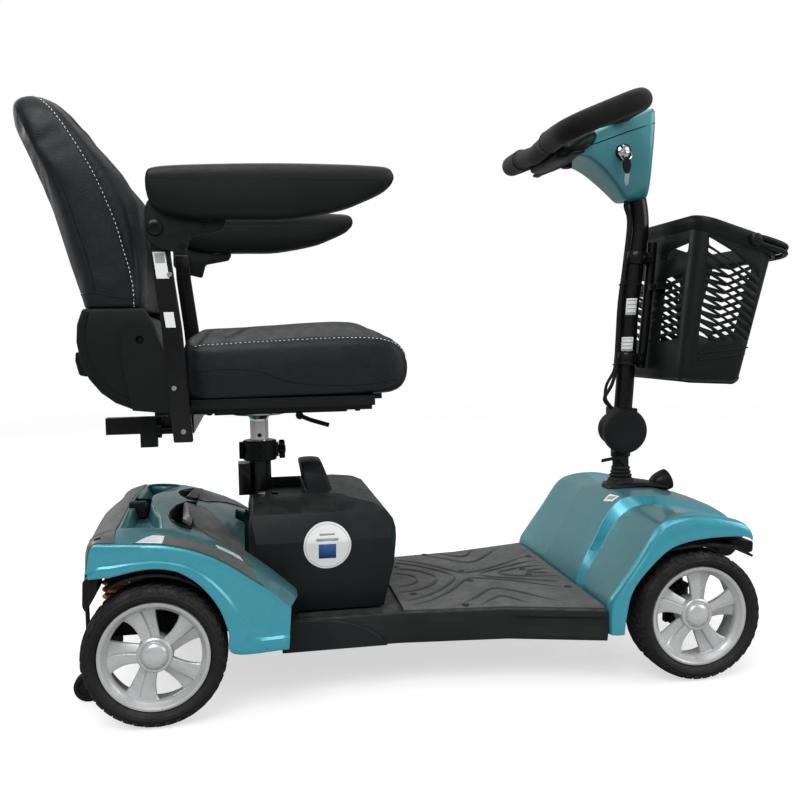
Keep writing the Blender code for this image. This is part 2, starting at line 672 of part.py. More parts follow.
def front_shroud():
    """Nose and mudguards. Each row is one station from the foot behind the wheel, over the top, to the nose:
    centre line, hump edge, foot of the hump, mudguard, its outer edge and the lower edge round the wheel."""
    hump = 0.100
    stations = [
        # centre x, z      hump edge       mudguard        outer edge      lower edge
        ((0.772, 0.128), (0.772, 0.128), (0.776, 0.128), (0.7675, 0.096), (0.7925, 0.096)),
        ((0.773, 0.145), (0.773, 0.145), (0.780, 0.143), (0.7685, 0.146), (0.7960, 0.126)),
        ((0.788, 0.190), (0.786, 0.182), (0.796, 0.180), (0.7880, 0.177), (0.8050, 0.165)),
        ((0.812, 0.236), (0.812, 0.230), (0.822, 0.222), (0.8240, 0.225), (0.8260, 0.197)),
        ((0.840, 0.276), (0.840, 0.268), (0.852, 0.262), (0.8600, 0.282), (0.8700, 0.238)),
        ((0.870, 0.305), (0.872, 0.298), (0.884, 0.286), (0.8930, 0.303), (0.9050, 0.252)),
        ((0.935, 0.312), (0.935, 0.305), (0.938, 0.290), (0.9450, 0.305), (0.9450, 0.2575)),
        ((0.985, 0.302), (0.985, 0.297), (0.985, 0.282), (0.9900, 0.293), (0.9850, 0.2585)),
        ((1.050, 0.280), (1.046, 0.276), (1.028, 0.268), (1.0220, 0.279), (1.0150, 0.2570)),
        ((1.092, 0.258), (1.086, 0.254), (1.055, 0.252), (1.0340, 0.262), (1.0290, 0.2520)),
        ((1.094, 0.240), (1.088, 0.238), (1.054, 0.240), (1.0350, 0.254), (1.0310, 0.2480)),
    ]
    rows = []
    for (cx, cz), (hx, hz), (mx, mz), (ox, oz), (lx, lz) in stations:
        rows.append([(cx, 0.0, cz), (cx + 0.2 * (hx - cx), 0.05, cz + 0.2 * (hz - cz)), (hx, hump, hz),
                     (mx, hump + 0.012, mz), ((mx + ox) / 2, 0.190, (mz + oz) / 2 - 0.003), (ox, 0.2600, oz),
                     (ox + 0.1 * (lx - ox), 0.2675, oz + 0.1 * (lz - oz)), (lx, 0.2700, lz)])
    column_hole = rod((COLUMN_X, 0, 0.25), (COLUMN_X, 0, 0.40), 0.024)
    lamp_pocket = block((0.957, 1.014), (-0.0235, 0.0235), (0.288, 0.360))
    part("front_shroud", half_shell(rows, (column_hole, lamp_pocket)), TEAL)


def rear_shroud():
    """Cover over the drive unit with a mudguard on each side. Each row is one station from the tail forwards:
    centre line, shoulder, outer edge and the lower edge round the wheel."""
    stations = [
        # centre x, z        shoulder         crest            lower edge
        ((-0.1160, 0.2460), (-0.106, 0.248), (-0.0970, 0.262), (-0.0940, 0.250)),
        ((-0.1100, 0.2950), (-0.098, 0.300), (-0.0880, 0.300), (-0.0780, 0.251)),
        ((-0.0650, 0.3290), (-0.062, 0.318), (-0.0600, 0.302), (-0.0560, 0.253)),
        ((-0.0200, 0.3310), (-0.020, 0.321), (-0.0200, 0.300), (-0.0250, 0.2590)),
        ((0.0300, 0.3240), (0.0300, 0.314), (0.0300, 0.295), (0.0080, 0.2610)),
        ((0.0750, 0.3120), (0.0780, 0.299), (0.0800, 0.280), (0.0440, 0.2530)),
        ((0.1150, 0.3000), (0.1180, 0.281), (0.1200, 0.259), (0.0770, 0.2290)),
        ((0.1480, 0.2850), (0.1540, 0.258), (0.1540, 0.235), (0.1040, 0.1920)),
        ((0.1900, 0.2500), (0.1900, 0.230), (0.1880, 0.211), (0.1180, 0.1520)),
        ((0.2180, 0.2200), (0.2200, 0.205), (0.2100, 0.191), (0.1260, 0.1150)),
        ((0.2300, 0.2100), (0.2320, 0.193), (0.2190, 0.184), (0.2140, 0.1160)),
    ]
    rows = []
    for (cx, cz), (sx, sz), (ox, oz), (lx, lz) in stations:
        rows.append([(cx, 0.0, cz), (0.6 * cx + 0.4 * sx, 0.13, 0.6 * cz + 0.4 * sz), (sx, 0.225, sz),
                     ((sx + ox) / 2, 0.255, 0.45 * sz + 0.55 * oz), (ox, 0.2680, oz), (lx, 0.2705, lz)])
    battery_bay = block((0.1480, 0.300), (-0.1885, 0.1885), (0.05, 0.40))
    post_notch = block((0.130, 0.300), (-0.0450, 0.0450), (0.05, 0.40))
    part("rear_shroud", half_shell(rows, (battery_bay, post_notch)), TEAL)


def freewheel_lever():
    lever = block((-0.050, -0.022), (-0.105, -0.090), (0.3290, 0.3400))
    part("freewheel_lever", lever, BLACK, (-0.022, -0.0975, 0.3345))


def floor_pan():
    outer = FLOOR_OUTLINE + [(x, -y) for x, y in reversed(FLOOR_OUTLINE)]
    inset = [(x + (SKIN if x < 0.3 else -SKIN if x > 0.7 else 0), y - SKIN) for x, y in FLOOR_OUTLINE]
    inner = inset + [(x, -y) for x, y in reversed(inset)]
    pan = prism(outer, *FLOOR_Z, "xy")
    hollow = prism(inner, 0.070, FLOOR_Z[1] - SKIN, "xy")
    tunnel = block((0.200, 0.800), (-0.110, 0.110), (0.070, 0.128))
    part("floor_pan", cut(pan, hollow, tunnel), BLACK)


def floor_mat():
    outline = [(x, y - 0.012) for x, y in FLOOR_OUTLINE if x > 0.3]
    outline[0] = (0.418, outline[0][1])
    outline[-1] = (0.7640, outline[-1][1])
    outline += [(x, -y) for x, y in reversed(outline)]
    part("floor_mat", prism(outline, FLOOR_Z[1] + GAP, FLOOR_Z[1] + 0.0025, "xy"), RUBBER)


def battery_box():
    side = [(0.163, 0.345), (0.205, 0.351), (0.310, 0.345), (0.376, 0.335), (0.397, 0.309), (0.405, 0.264),
            (0.388, 0.193), (0.376, 0.1415), (0.160, 0.1415), (0.1535, 0.244), (0.1535, 0.279)]
    front = [(0.150, 0.140), (0.183, 0.250), (0.185, 0.270), (0.178, 0.310), (0.150, 0.346), (0.100, 0.353)]
    front += [(-y, z) for y, z in reversed(front)]
    box = prism(side, -0.2, 0.2)
    boolean(box, [prism(front, 0.10, 0.50, "yz")], "INTERSECT")
    cut(box, block((0.14, 0.2110), (-0.0350, 0.0350), (0.12, 0.40)))
    handle = prism([(0.262, 0.3440), (0.250, 0.372), (0.252, 0.387), (0.291, 0.387), (0.300, 0.370),
                    (0.319, 0.3400)], -0.060, 0.060)
    cut(handle, block((0.20, 0.40), (-0.043, 0.043), (0.30, 0.370)))
    part("battery_box", fuse(box, handle), CHARCOAL)


def headlight():
    y, z = 0.0, 0.3150
    body = lathe([(0.0, 0.0), (0.019, 0.0), (0.0215, -0.006), (0.0195, -0.030), (0.012, -0.040), (0.0, -0.042)],
                 (1.004, y, z), (1, 0, 0), 20)
    part("headlight_housing", body, BLACK)
    lens = lathe([(0.0, 0.006), (0.012, 0.004), (0.018, 0.0), (0.0, 0.0)], (1.0045, y, z), (1, 0, 0), 20)
    part("headlight_lens", lens, LENS)


def gather_under_root():
    """One empty carries the scooter, so that the rear-axle drawing frame moves to the finished frame."""
    root = bpy.data.objects.new("scooter_root", None)
    PARTS.objects.link(root)
    for obj in list(PARTS.objects) + list(CUTTERS.objects):
        if obj is not root:
            obj.parent = root
    root.location = (REAR_AXLE_X, 0.0, 0.0)


clear_scene()
PARTS = new_collection("mobility_scooter")
CUTTERS = new_collection("cutters")

TEAL = paint("teal_paint", (0.05, 0.33, 0.38), 0.30, 0.5)
SILVER = paint("silver_alloy", (0.62, 0.62, 0.64), 0.35, 0.8)
CHROME = paint("chrome", (0.75, 0.75, 0.76), 0.12, 1.0)
STEEL = paint("black_steel", (0.03, 0.03, 0.033), 0.45, 0.3)
BLACK = paint("black_plastic", (0.03, 0.032, 0.035), 0.5)
CHARCOAL = paint("charcoal_plastic", (0.045, 0.05, 0.055), 0.55)
LEATHER = paint("black_leatherette", (0.025, 0.027, 0.032), 0.55)
RUBBER = paint("rubber", (0.03, 0.03, 0.03), 0.8)
ORANGE = paint("orange_spring", (0.70, 0.22, 0.03), 0.35, 0.2)
RED = paint("red_button", (0.55, 0.03, 0.02), 0.4)
LENS = paint("clear_lens", (0.85, 0.87, 0.90), 0.08)

wheels()
rear_frame()
front_frame()
steering_column()
tilt_lever()
tiller_tube()
tiller_head()
handlebar()
control_panel()
panel_buttons()
key()
throttle_lever()
tiller_cable()
basket()
basket_bracket()
basket_handle()
transaxle()
anti_tip()
seat_post_socket()
post_knob()
seat_post()
swivel_plate()
swivel_lever()
seat_pan()
seat_cushion()
backrest()
armrest_receiver()
front_shroud()
rear_shroud()
freewheel_lever()
floor_pan()
floor_mat()
battery_box()
headlight()
for side_label, side_sign in SIDES.items():
    knuckle(side_label, side_sign)
    tie_rod(side_label, side_sign)
    spring(side_label, side_sign)
    armrest_upright(side_label, side_sign)
    armrest(side_label, side_sign)
    width_knob(side_label, side_sign)
gather_under_root()
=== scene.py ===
"""Looks of the mobility scooter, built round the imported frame.

Lengths in the drawing functions are millimetres measured from the rear axle (X), the middle plane (Y) and the
ground (Z); place() turns them into metres in the frame.
"""
import json
import math

import bmesh
import bpy
from mathutils import Matrix, Vector, noise
from mathutils.bvhtree import BVHTree
from mathutils.kdtree import KDTree

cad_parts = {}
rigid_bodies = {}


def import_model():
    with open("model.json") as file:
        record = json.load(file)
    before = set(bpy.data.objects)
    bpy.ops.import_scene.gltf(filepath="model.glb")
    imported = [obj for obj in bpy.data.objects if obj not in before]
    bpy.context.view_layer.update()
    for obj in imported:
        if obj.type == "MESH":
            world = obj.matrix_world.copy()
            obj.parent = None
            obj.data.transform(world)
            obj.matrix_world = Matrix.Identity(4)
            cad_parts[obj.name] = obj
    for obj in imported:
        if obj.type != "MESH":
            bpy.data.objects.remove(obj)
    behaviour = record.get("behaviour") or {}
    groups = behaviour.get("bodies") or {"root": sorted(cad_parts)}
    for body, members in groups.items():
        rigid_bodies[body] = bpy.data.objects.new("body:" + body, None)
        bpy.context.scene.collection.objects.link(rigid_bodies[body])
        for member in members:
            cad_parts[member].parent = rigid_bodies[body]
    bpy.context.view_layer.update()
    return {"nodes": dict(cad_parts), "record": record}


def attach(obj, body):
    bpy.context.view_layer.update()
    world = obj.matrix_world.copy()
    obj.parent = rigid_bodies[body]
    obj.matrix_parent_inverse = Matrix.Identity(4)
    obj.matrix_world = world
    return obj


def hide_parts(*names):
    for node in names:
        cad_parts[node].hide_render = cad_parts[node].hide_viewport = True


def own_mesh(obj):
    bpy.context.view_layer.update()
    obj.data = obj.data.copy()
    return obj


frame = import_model()

AXLE_X = -488.9
WHEELBASE = 938.0
WHEEL_Y = 230.0
AXLE_Z = 116.0
TUBE_R = 18.0
SIDES = (("right", -1), ("left", 1))


# ------------------------------------------------------------------ small geometry helpers

def place(p):
    return Vector(((p[0] + AXLE_X) * 0.001, p[1] * 0.001, p[2] * 0.001))


def finish_mesh(name, bm, mat, body, nodes=(), bevel=0.0, bevel_steps=2, subdivide=0, angle=35,
                outward=True):
    """Turns a bmesh in millimetres into a named piece that rides on a body."""
    for v in bm.verts:
        v.co = place(v.co)
    if outward:
        bmesh.ops.recalc_face_normals(bm, faces=bm.faces)
    mesh = bpy.data.meshes.new(name)
    bm.to_mesh(mesh)
    bm.free()
    obj = bpy.data.objects.new(name, mesh)
    bpy.context.scene.collection.objects.link(obj)
    for m in (mat if isinstance(mat, (list, tuple)) else [mat]):
        mesh.materials.append(m)
    mesh.shade_smooth()
    if bevel:
        mod = obj.modifiers.new("bevel", "BEVEL")
        mod.width = bevel * 0.001
        mod.segments = bevel_steps
        mod.limit_method = "ANGLE"
        mod.angle_limit = math.radians(28)
        mod.harden_normals = False
    if subdivide:
        mod = obj.modifiers.new("smooth", "SUBSURF")
        mod.levels = mod.render_levels = subdivide
    if not subdivide:
        mesh.set_sharp_from_angle(angle=math.radians(angle))
    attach(obj, body)
    if nodes:
        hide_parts(*nodes)
    return obj


def thicken(obj, wall):
    """Gives a sheet a wall, in millimetres, half on each side."""
    mod = obj.modifiers.new("wall", "SOLIDIFY")
    mod.thickness = wall * 0.001
    mod.offset = 0.0


def add_grid(bm, rows, close_u=False, close_v=False, caps=False, mat=0):
    """Faces between rows of points. close_u joins each row's ends; close_v joins the last row to the first."""
    grid = [[bm.verts.new(p) for p in row] for row in rows]
    n, m = len(grid), len(grid[0])
    faces = []
    for i in range(n if close_v else n - 1):
        a, b = grid[i], grid[(i + 1) % n]
        for j in range(m if close_u else m - 1):
            k = (j + 1) % m
            faces.append(bm.faces.new((a[j], b[j], b[k], a[k])))
    if caps:
        faces.append(bm.faces.new(grid[0]))
        faces.append(bm.faces.new(list(reversed(grid[-1]))))
    for f in faces:
        f.material_index = mat
    return grid


def smooth_path(points, per=6, closed=False):
    """Catmull-Rom points through the given ones."""
    pts = [Vector(p) for p in points]
    n = len(pts)
    out = []
    for i in range(n if closed else n - 1):
        if closed:
            p0, p1, p2, p3 = (pts[(i + k - 1) % n] for k in range(4))
        else:
            p1, p2 = pts[i], pts[i + 1]
            p0 = pts[i - 1] if i else p1 * 2 - p2
            p3 = pts[i + 2] if i + 2 < n else p2 * 2 - p1
        for s in range(per):
            t = s / per
            out.append(0.5 * ((2 * p1) + (p2 - p0) * t + (2 * p0 - 5 * p1 + 4 * p2 - p3) * t * t
                              + (3 * p1 - p0 - 3 * p2 + p3) * t ** 3))
    if not closed:
        out.append(pts[-1])
    return out


def add_tube(bm, points, radius, sides=12, closed=False, flat=1.0, mat=0, up=(0, 0, 1)):
    """A round (or flattened) bar along points. radius may be a list, one per point."""
    pts = [Vector(p) for p in points]
    n = len(pts)
    radii = radius if isinstance(radius, (list, tuple)) else [radius] * n
    rows = []
    normal = None
    for i, p in enumerate(pts):
        if closed:
            along = pts[(i + 1) % n] - pts[i - 1]
        else:
            along = pts[min(i + 1, n - 1)] - pts[max(i - 1, 0)]
        along.normalize()
        if normal is None:
            normal = Vector(up).cross(along)
            if normal.length < 0.1:
                normal = Vector((1, 0, 0)).cross(along)
        normal = (normal - along * normal.dot(along)).normalized()
        other = along.cross(normal)
        rows.append([p + radii[i] * (math.cos(a) * normal + flat * math.sin(a) * other)
                     for a in (2 * math.pi * k / sides for k in range(sides))])
    add_grid(bm, rows, close_u=True, close_v=closed, caps=not closed, mat=mat)


def add_lathe(bm, profile, centre, axis=(0, 0, 1), steps=32, closed=False, mat=0, phase=0.0):
    """Turns (radius, height) points about the line through centre."""
    turn = Vector((0, 0, 1)).rotation_difference(Vector(axis)).to_matrix()
    base = Vector(centre)
    ring = []
    for r, h in profile:
        if r < 1e-6:
            ring.append([bm.verts.new(base + turn @ Vector((0, 0, h)))])
        else:
            ring.append([bm.verts.new(base + turn @ Vector((r * math.cos(a), r * math.sin(a), h)))
                         for a in (phase + 2 * math.pi * k / steps for k in range(steps))])
    pairs = list(zip(ring, ring[1:])) + ([(ring[-1], ring[0])] if closed else [])
    for a, b in pairs:
        for k in range(steps):
            j = (k + 1) % steps
            corners = [a[k % len(a)], a[j % len(a)], b[j % len(b)], b[k % len(b)]]
            unique = list(dict.fromkeys(corners))
            if len(unique) > 2:
                bm.faces.new(unique).material_index = mat


def add_prism(bm, outline, low, high, plane="xz", mat=0, taper=None):
    """A flat outline extruded between two values of the axis its plane leaves out."""
    def at(a, b, c):
        return {"xz": (a, c, b), "yz": (c, a, b), "xy": (a, b, c)}[plane]
    bottom = [bm.verts.new(at(a, b, low)) for a, b in outline]
    if taper:
        ca = sum(a for a, _ in outline) / len(outline)
        cb = sum(b for _, b in outline) / len(outline)
        outline = [(ca + (a - ca) * taper, cb + (b - cb) * taper) for a, b in outline]
    top = [bm.verts.new(at(a, b, high)) for a, b in outline]
    n = len(outline)
    faces = [bm.faces.new(bottom), bm.faces.new(list(reversed(top)))]
    for i in range(n):
        j = (i + 1) % n
        faces.append(bm.faces.new((bottom[i], top[i], top[j], bottom[j])))
    for f in faces:
        f.material_index = mat


def add_box(bm, x, y, z, mat=0, turn=None, about=None):
    """A box between two values on each axis, optionally turned about a point."""
    corners = [Vector((a, b, c)) for a in x for b in y for c in z]
    if turn is not None:
        pivot = Vector(about)
        corners = [turn @ (c - pivot) + pivot for c in corners]
    v = [bm.verts.new(c) for c in corners]
    for q in ((0, 1, 3, 2), (4, 6, 7, 5), (0, 4, 5, 1), (2, 3, 7, 6), (0, 2, 6, 4), (1, 5, 7, 3)):
        bm.faces.new([v[i] for i in q]).material_index = mat


def span(side, low, high):
    return (low, high) if side > 0 else (-high, -low)


def round_outline(outline, radius, steps=4):
    """Rounds the corners of a closed 2-D outline."""
    pts = [Vector(p) for p in outline]
    n = len(pts)
    out = []
    for i, p in enumerate(pts):
        a, b = pts[i - 1] - p, pts[(i + 1) % n] - p
        r = min(radius, a.length * 0.45, b.length * 0.45)
        start, end = p + a.normalized() * r, p + b.normalized() * r
        for k in range(steps + 1):
            t = k / steps
            out.append(tuple((1 - t) ** 2 * start + 2 * t * (1 - t) * p + t * t * end))
    return out


def cut_with(obj, cutter_bm, operation="DIFFERENCE"):
    """Cuts a finished piece with a cutter drawn in millimetres and leaves no modifier behind."""
    for v in cutter_bm.verts:
        v.co = place(v.co)
    bmesh.ops.recalc_face_normals(cutter_bm, faces=cutter_bm.faces)
    mesh = bpy.data.meshes.new("cutter")
    cutter_bm.to_mesh(mesh)
    cutter_bm.free()
    cutter = bpy.data.objects.new("cutter", mesh)
    bpy.context.scene.collection.objects.link(cutter)
    mod = obj.modifiers.new("cut", "BOOLEAN")
    mod.operation = operation
    mod.solver = "EXACT"
    mod.object = cutter
    bake(obj)
    bpy.data.objects.remove(cutter)


def bake(obj):
    """Applies every modifier of a piece."""
    bpy.context.view_layer.update()
    dep = bpy.context.evaluated_depsgraph_get()
    mesh = bpy.data.meshes.new_from_object(obj.evaluated_get(dep), preserve_all_data_layers=True,
                                           depsgraph=dep)
    obj.modifiers.clear()
    obj.data = mesh


# ------------------------------------------------------------------ materials

class Nodes:
    """Short-hand for building a shader's node tree."""

    def __init__(self, name):
        self.mat = bpy.data.materials.new(name)
        self.mat.use_nodes = True
        self.tree = self.mat.node_tree
        self.shader = self.tree.nodes["Principled BSDF"]
        self.coords = self.tree.nodes.new("ShaderNodeTexCoord").outputs["Object"]

    def add(self, kind, **inputs):
        node = self.tree.nodes.new(kind)
        for key, value in inputs.items():
            socket = key.replace("_", " ")
            if socket in node.inputs:
                self.feed(node.inputs[socket], value)
            else:
                setattr(node, key, value)
        return node

    def feed(self, socket, value):
        if isinstance(value, bpy.types.NodeSocket):
            self.tree.links.new(value, socket)
        else:
            socket.default_value = value

    def noise(self, scale, detail=3.0, rough=0.5):
        node = self.add("ShaderNodeTexNoise", Scale=scale, Detail=detail, Roughness=rough)
        self.feed(node.inputs["Vector"], self.coords)
        return node.outputs["Fac"]

    def cells(self, scale, feature="F1", output="Distance"):
        node = self.add("ShaderNodeTexVoronoi", Scale=scale)
        node.feature = feature
        self.feed(node.inputs["Vector"], self.coords)
        return node.outputs[output]

    def span(self, value, low, high, to_low=0.0, to_high=1.0):
        node = self.add("ShaderNodeMapRange")
        for socket, item in zip(list(node.inputs)[:5], (value, low, high, to_low, to_high)):
            self.feed(socket, item)
        return node.outputs["Result"]

    def math(self, kind, a, b=0.0):
        node = self.tree.nodes.new("ShaderNodeMath")
        node.operation = kind
        self.feed(node.inputs[0], a)
        self.feed(node.inputs[1], b)
        return node.outputs[0]

    def mix(self, factor, a, b):
        node = self.tree.nodes.new("ShaderNodeMix")
        node.data_type = "RGBA"
        self.feed(node.inputs["Factor"], factor)
        for socket, item in zip([s for s in node.inputs if s.type == "RGBA"], (a, b)):
            self.feed(socket, (*item, 1.0) if isinstance(item, tuple) and len(item) == 3 else item)
        return [s for s in node.outputs if s.type == "RGBA"][0]

    def bump(self, height, strength, distance):
        node = self.add("ShaderNodeBump", Strength=strength, Distance=distance)
        self.feed(node.inputs["Height"], height)
        previous = self.shader.inputs["Normal"]
        if previous.is_linked:
            self.tree.links.new(previous.links[0].from_socket, node.inputs["Normal"])
        self.tree.links.new(node.outputs["Normal"], previous)

    def up_facing(self, low=0.3, high=0.95):
        geometry = self.tree.nodes.new("ShaderNodeNewGeometry")
        split = self.tree.nodes.new("ShaderNodeSeparateXYZ")
        self.tree.links.new(geometry.outputs["Normal"], split.inputs[0])
        return self.span(split.outputs["Z"], low, high)


def scaled(color, k):
    return tuple(min(1.0, c * k) for c in color)


def material(name, color, rough, metal=0.0, coat=0.0, variation=0.15, dust=0.0, dust_color=(0.30, 0.29, 0.27),
             sheen=0.0, specular=0.13, grain=None):
    """A finished surface: colour that varies softly, uneven gloss, its own grain, and dust on top faces."""
    n = Nodes(name)
    base = n.mix(n.span(n.noise(9.0, 4.0), 0.35, 0.65), scaled(color, 1 - variation),
                 scaled(color, 1 + variation))
    if dust:
        mask = n.math("MULTIPLY", n.up_facing(0.2, 1.0), n.span(n.noise(38.0, 6.0, 0.7), 0.35, 0.75))
        base = n.mix(n.math("MULTIPLY", mask, dust), base, dust_color)
    n.feed(n.shader.inputs["Base Color"], base)
    n.feed(n.shader.inputs["Roughness"], n.span(n.noise(60.0, 3.0), 0.3, 0.7, max(0.02, rough - 0.06),
                                                rough + 0.08))
    n.feed(n.shader.inputs["Metallic"], metal)
    n.feed(n.shader.inputs["Specular IOR Level"], specular)
    if coat:
        n.feed(n.shader.inputs["Coat Weight"], coat)
        n.feed(n.shader.inputs["Coat Roughness"], 0.12)
    if sheen:
        n.feed(n.shader.inputs["Sheen Weight"], sheen)
        n.feed(n.shader.inputs["Sheen Roughness"], 0.45)
    if grain == "leather":
        n.bump(n.cells(520.0), 0.30, 0.0006)
        n.bump(n.noise(1300.0, 2.0), 0.15, 0.0003)
        n.bump(n.noise(28.0, 3.0), 0.20, 0.0022)
    elif grain == "plastic":
        n.bump(n.noise(1500.0, 2.0), 0.22, 0.0003)
        n.bump(n.noise(30.0, 2.0), 0.05, 0.001)
    elif grain == "foam":
        n.bump(n.noise(700.0, 4.0, 0.7), 0.45, 0.0006)
    elif grain == "rubber":
        n.bump(n.noise(420.0, 5.0, 0.65), 0.35, 0.0006)
        n.bump(n.cells(90.0), 0.06, 0.0008)
    elif grain == "cast":
        n.bump(n.noise(600.0, 3.0), 0.04, 0.0002)
    elif grain == "enamel":
        n.bump(n.noise(220.0, 2.0), 0.10, 0.0003)
    elif grain == "brushed":
        stretch = n.add("ShaderNodeMapping", Scale=(6.0, 6.0, 900.0))
        n.feed(stretch.inputs["Vector"], n.coords)
        lines = n.add("ShaderNodeTexNoise", Scale=3.0, Detail=2.0)
        n.feed(lines.inputs["Vector"], stretch.outputs["Vector"])
        n.bump(lines.outputs["Fac"], 0.10, 0.0003)
    return n.mat


def flake_paint(name, bright, top_shade, top_shade_share, rough=0.30):
    """Metallic paint: flakes tip each way, and faces that point up are painted a duller, greyer shade for how light
    falls on them.
    """
    n = Nodes(name)
    soft = n.span(n.noise(7.0, 3.0), 0.3, 0.7, -0.10, 0.10)
    # Painted shade: the share of the duller colour grows on faces that point up.
    share = n.math("ADD", n.math("MULTIPLY", n.up_facing(-0.1, 0.9), top_shade_share), soft)
    base = n.mix(share, bright, top_shade)
    specks = n.span(n.cells(1600.0, output="Color"), 0.0, 1.0, 0.85, 1.18)
    tint = n.add("ShaderNodeVectorMath", operation="SCALE")
    n.feed(tint.inputs[0], base)
    n.feed(tint.inputs["Scale"], specks)
    n.feed(n.shader.inputs["Base Color"], tint.outputs[0])
    n.feed(n.shader.inputs["Metallic"], 0.42)
    n.feed(n.shader.inputs["Roughness"], n.span(n.noise(45.0, 4.0), 0.3, 0.7, rough - 0.04, rough + 0.10))
    n.feed(n.shader.inputs["Coat Weight"], 0.5)
    n.feed(n.shader.inputs["Coat Roughness"], 0.10)
    n.bump(n.cells(1600.0), 0.10, 0.0002)
    n.bump(n.noise(120.0, 2.0), 0.05, 0.0004)
    return n.mat


# One teal paint in two copies: a lit one, and a darker, greyer painted-shade one for the dull-looking tops, the rear
# bowl and the tiller head.
TEAL = flake_paint("teal_lit_copy", (0.036, 0.31, 0.40), (0.050, 0.27, 0.33), 0.5)
TEAL_SHADED = flake_paint("teal_shaded_copy", (0.035, 0.20, 0.235), (0.070, 0.185, 0.20), 0.9, 0.42)
TAUPE = material("taupe_plastic", (0.075, 0.080, 0.078), 0.42, coat=0.2, grain="plastic", dust=0.25)
CHARCOAL = material("charcoal_plastic", (0.0105, 0.0135, 0.0140), 0.40, grain="plastic", dust=0.10)
DECK = material("deck_rubber", (0.072, 0.074, 0.072), 0.55, grain="rubber", dust=0.5,
                dust_color=(0.165, 0.172, 0.166))
# Darker copy of the mat rubber for the ribs: painted shade that stands in for the shadow along each rib.
DECK_RIB_SHADED = material("deck_rib_painted_shade", (0.036, 0.038, 0.037), 0.50, grain="rubber", dust=0.2,
                    dust_color=(0.14, 0.145, 0.14))
SKIRT = material("skirt_plastic", (0.014, 0.018, 0.0175), 0.46, grain="plastic", dust=0.2)
BLACK = material("black_plastic", (0.0060, 0.0075, 0.0075), 0.38, grain="plastic")
MATT = material("matt_black", (0.0068, 0.0085, 0.0085), 0.52, grain="plastic", dust=0.05)
STEEL = material("black_steel", (0.0045, 0.0047, 0.0050), 0.24, coat=0.22, grain="enamel")
CHASSIS = material("chassis_steel", (0.009, 0.009, 0.0095), 0.42, coat=0.1, grain="enamel", dust=0.3)
LEATHER = material("leatherette", (0.0060, 0.0068, 0.0080), 0.44, grain="leather", specular=0.24)
LEATHER_SIDE = material("leatherette_side", (0.0058, 0.0075, 0.0105), 0.40, grain="leather", specular=0.24)
THREAD = material("white_thread", (0.70, 0.70, 0.68), 0.7, sheen=0.3, grain="foam")
DARK_THREAD = material("dark_piping", (0.006, 0.006, 0.007), 0.5, grain="leather")
FOAM = material("foam_grip", (0.0046, 0.0048, 0.0053), 0.75, grain="foam", sheen=0.1)
PAD = material("arm_pad_skin", (0.0085, 0.0088, 0.0095), 0.46, grain="leather", specular=0.30)
TYRE = material("tyre_rubber", (0.015, 0.015, 0.0155), 0.72, grain="rubber", dust=0.25,
                dust_color=(0.20, 0.195, 0.185))
CASTOR = material("castor_rubber", (0.009, 0.009, 0.0095), 0.6, grain="rubber")
RIM = material("silver_paint", (0.52, 0.525, 0.53), 0.30, metal=0.45, coat=0.25, variation=0.06, grain="cast")
CHROME = material("polished_chrome", (0.62, 0.62, 0.63), 0.14, metal=1.0, variation=0.04, grain="brushed")
ZINC = material("zinc_screw", (0.45, 0.45, 0.45), 0.35, metal=0.9, grain="brushed")
ORANGE = material("orange_spring", (0.62, 0.17, 0.02), 0.35, coat=0.4, grain="enamel")
LABEL = material("white_label", (0.72, 0.73, 0.73), 0.40, variation=0.03, grain="plastic")
LABEL_GREY = material("grey_label_print", (0.30, 0.32, 0.33), 0.45, variation=0.05, grain="plastic")
LABEL_BLUE = material("blue_label_print", (0.030, 0.085, 0.26), 0.45, variation=0.05, grain="plastic")
LENS = material("clear_lens", (0.55, 0.58, 0.60), 0.12, coat=0.6, variation=0.05, grain="enamel")
LAMP = material("lamp_silver", (0.62, 0.64, 0.65), 0.22, metal=0.25, coat=0.6, variation=0.05, grain="cast")
RED = material("red_button", (0.50, 0.02, 0.015), 0.35, coat=0.4, grain="enamel")
# Near-black: the real dark of the gauge window and the head seam, and painted shade for the inside of the post holes,
# the tail slots and the rear scoops.
DARK_AND_HOLE_SHADE = material("dark_and_painted_hole_shade", (0.004, 0.004, 0.004), 0.8, grain="plastic")
LINER = material("black_liner", (0.008, 0.008, 0.009), 0.6, grain="plastic", dust=0.3)


# ------------------------------------------------------------------ wheels

TYRE_SECTION = [(89.5, 27.0), (91.5, 31.0), (94.5, 35.5), (98.0, 38.4), (101.5, 39.4), (103.0, 38.6),
                (106.0, 37.6), (109.5, 35.2), (112.0, 31.0), (113.3, 26.0), (114.0, 18.0), (114.2, 9.0),
                (114.3, 0.0)]
SPOKES = 5
TREAD_COUNT = 40


def tyre_point(s):
    """A point (radius, offset) of the tyre's skin and its outward direction; s is 0 at the crown, 1 at the shoulder."""
    path = list(reversed(TYRE_SECTION[6:]))
    t = s * (len(path) - 1)
    i = min(int(t), len(path) - 2)
    a, b = Vector(path[i]), Vector(path[i + 1])
    p = a.lerp(b, t - i)
    d = (b - a).normalized()
    normal = Vector((d[1], -d[0]))
    return p, normal if normal[0] + normal[1] > 0 else -normal


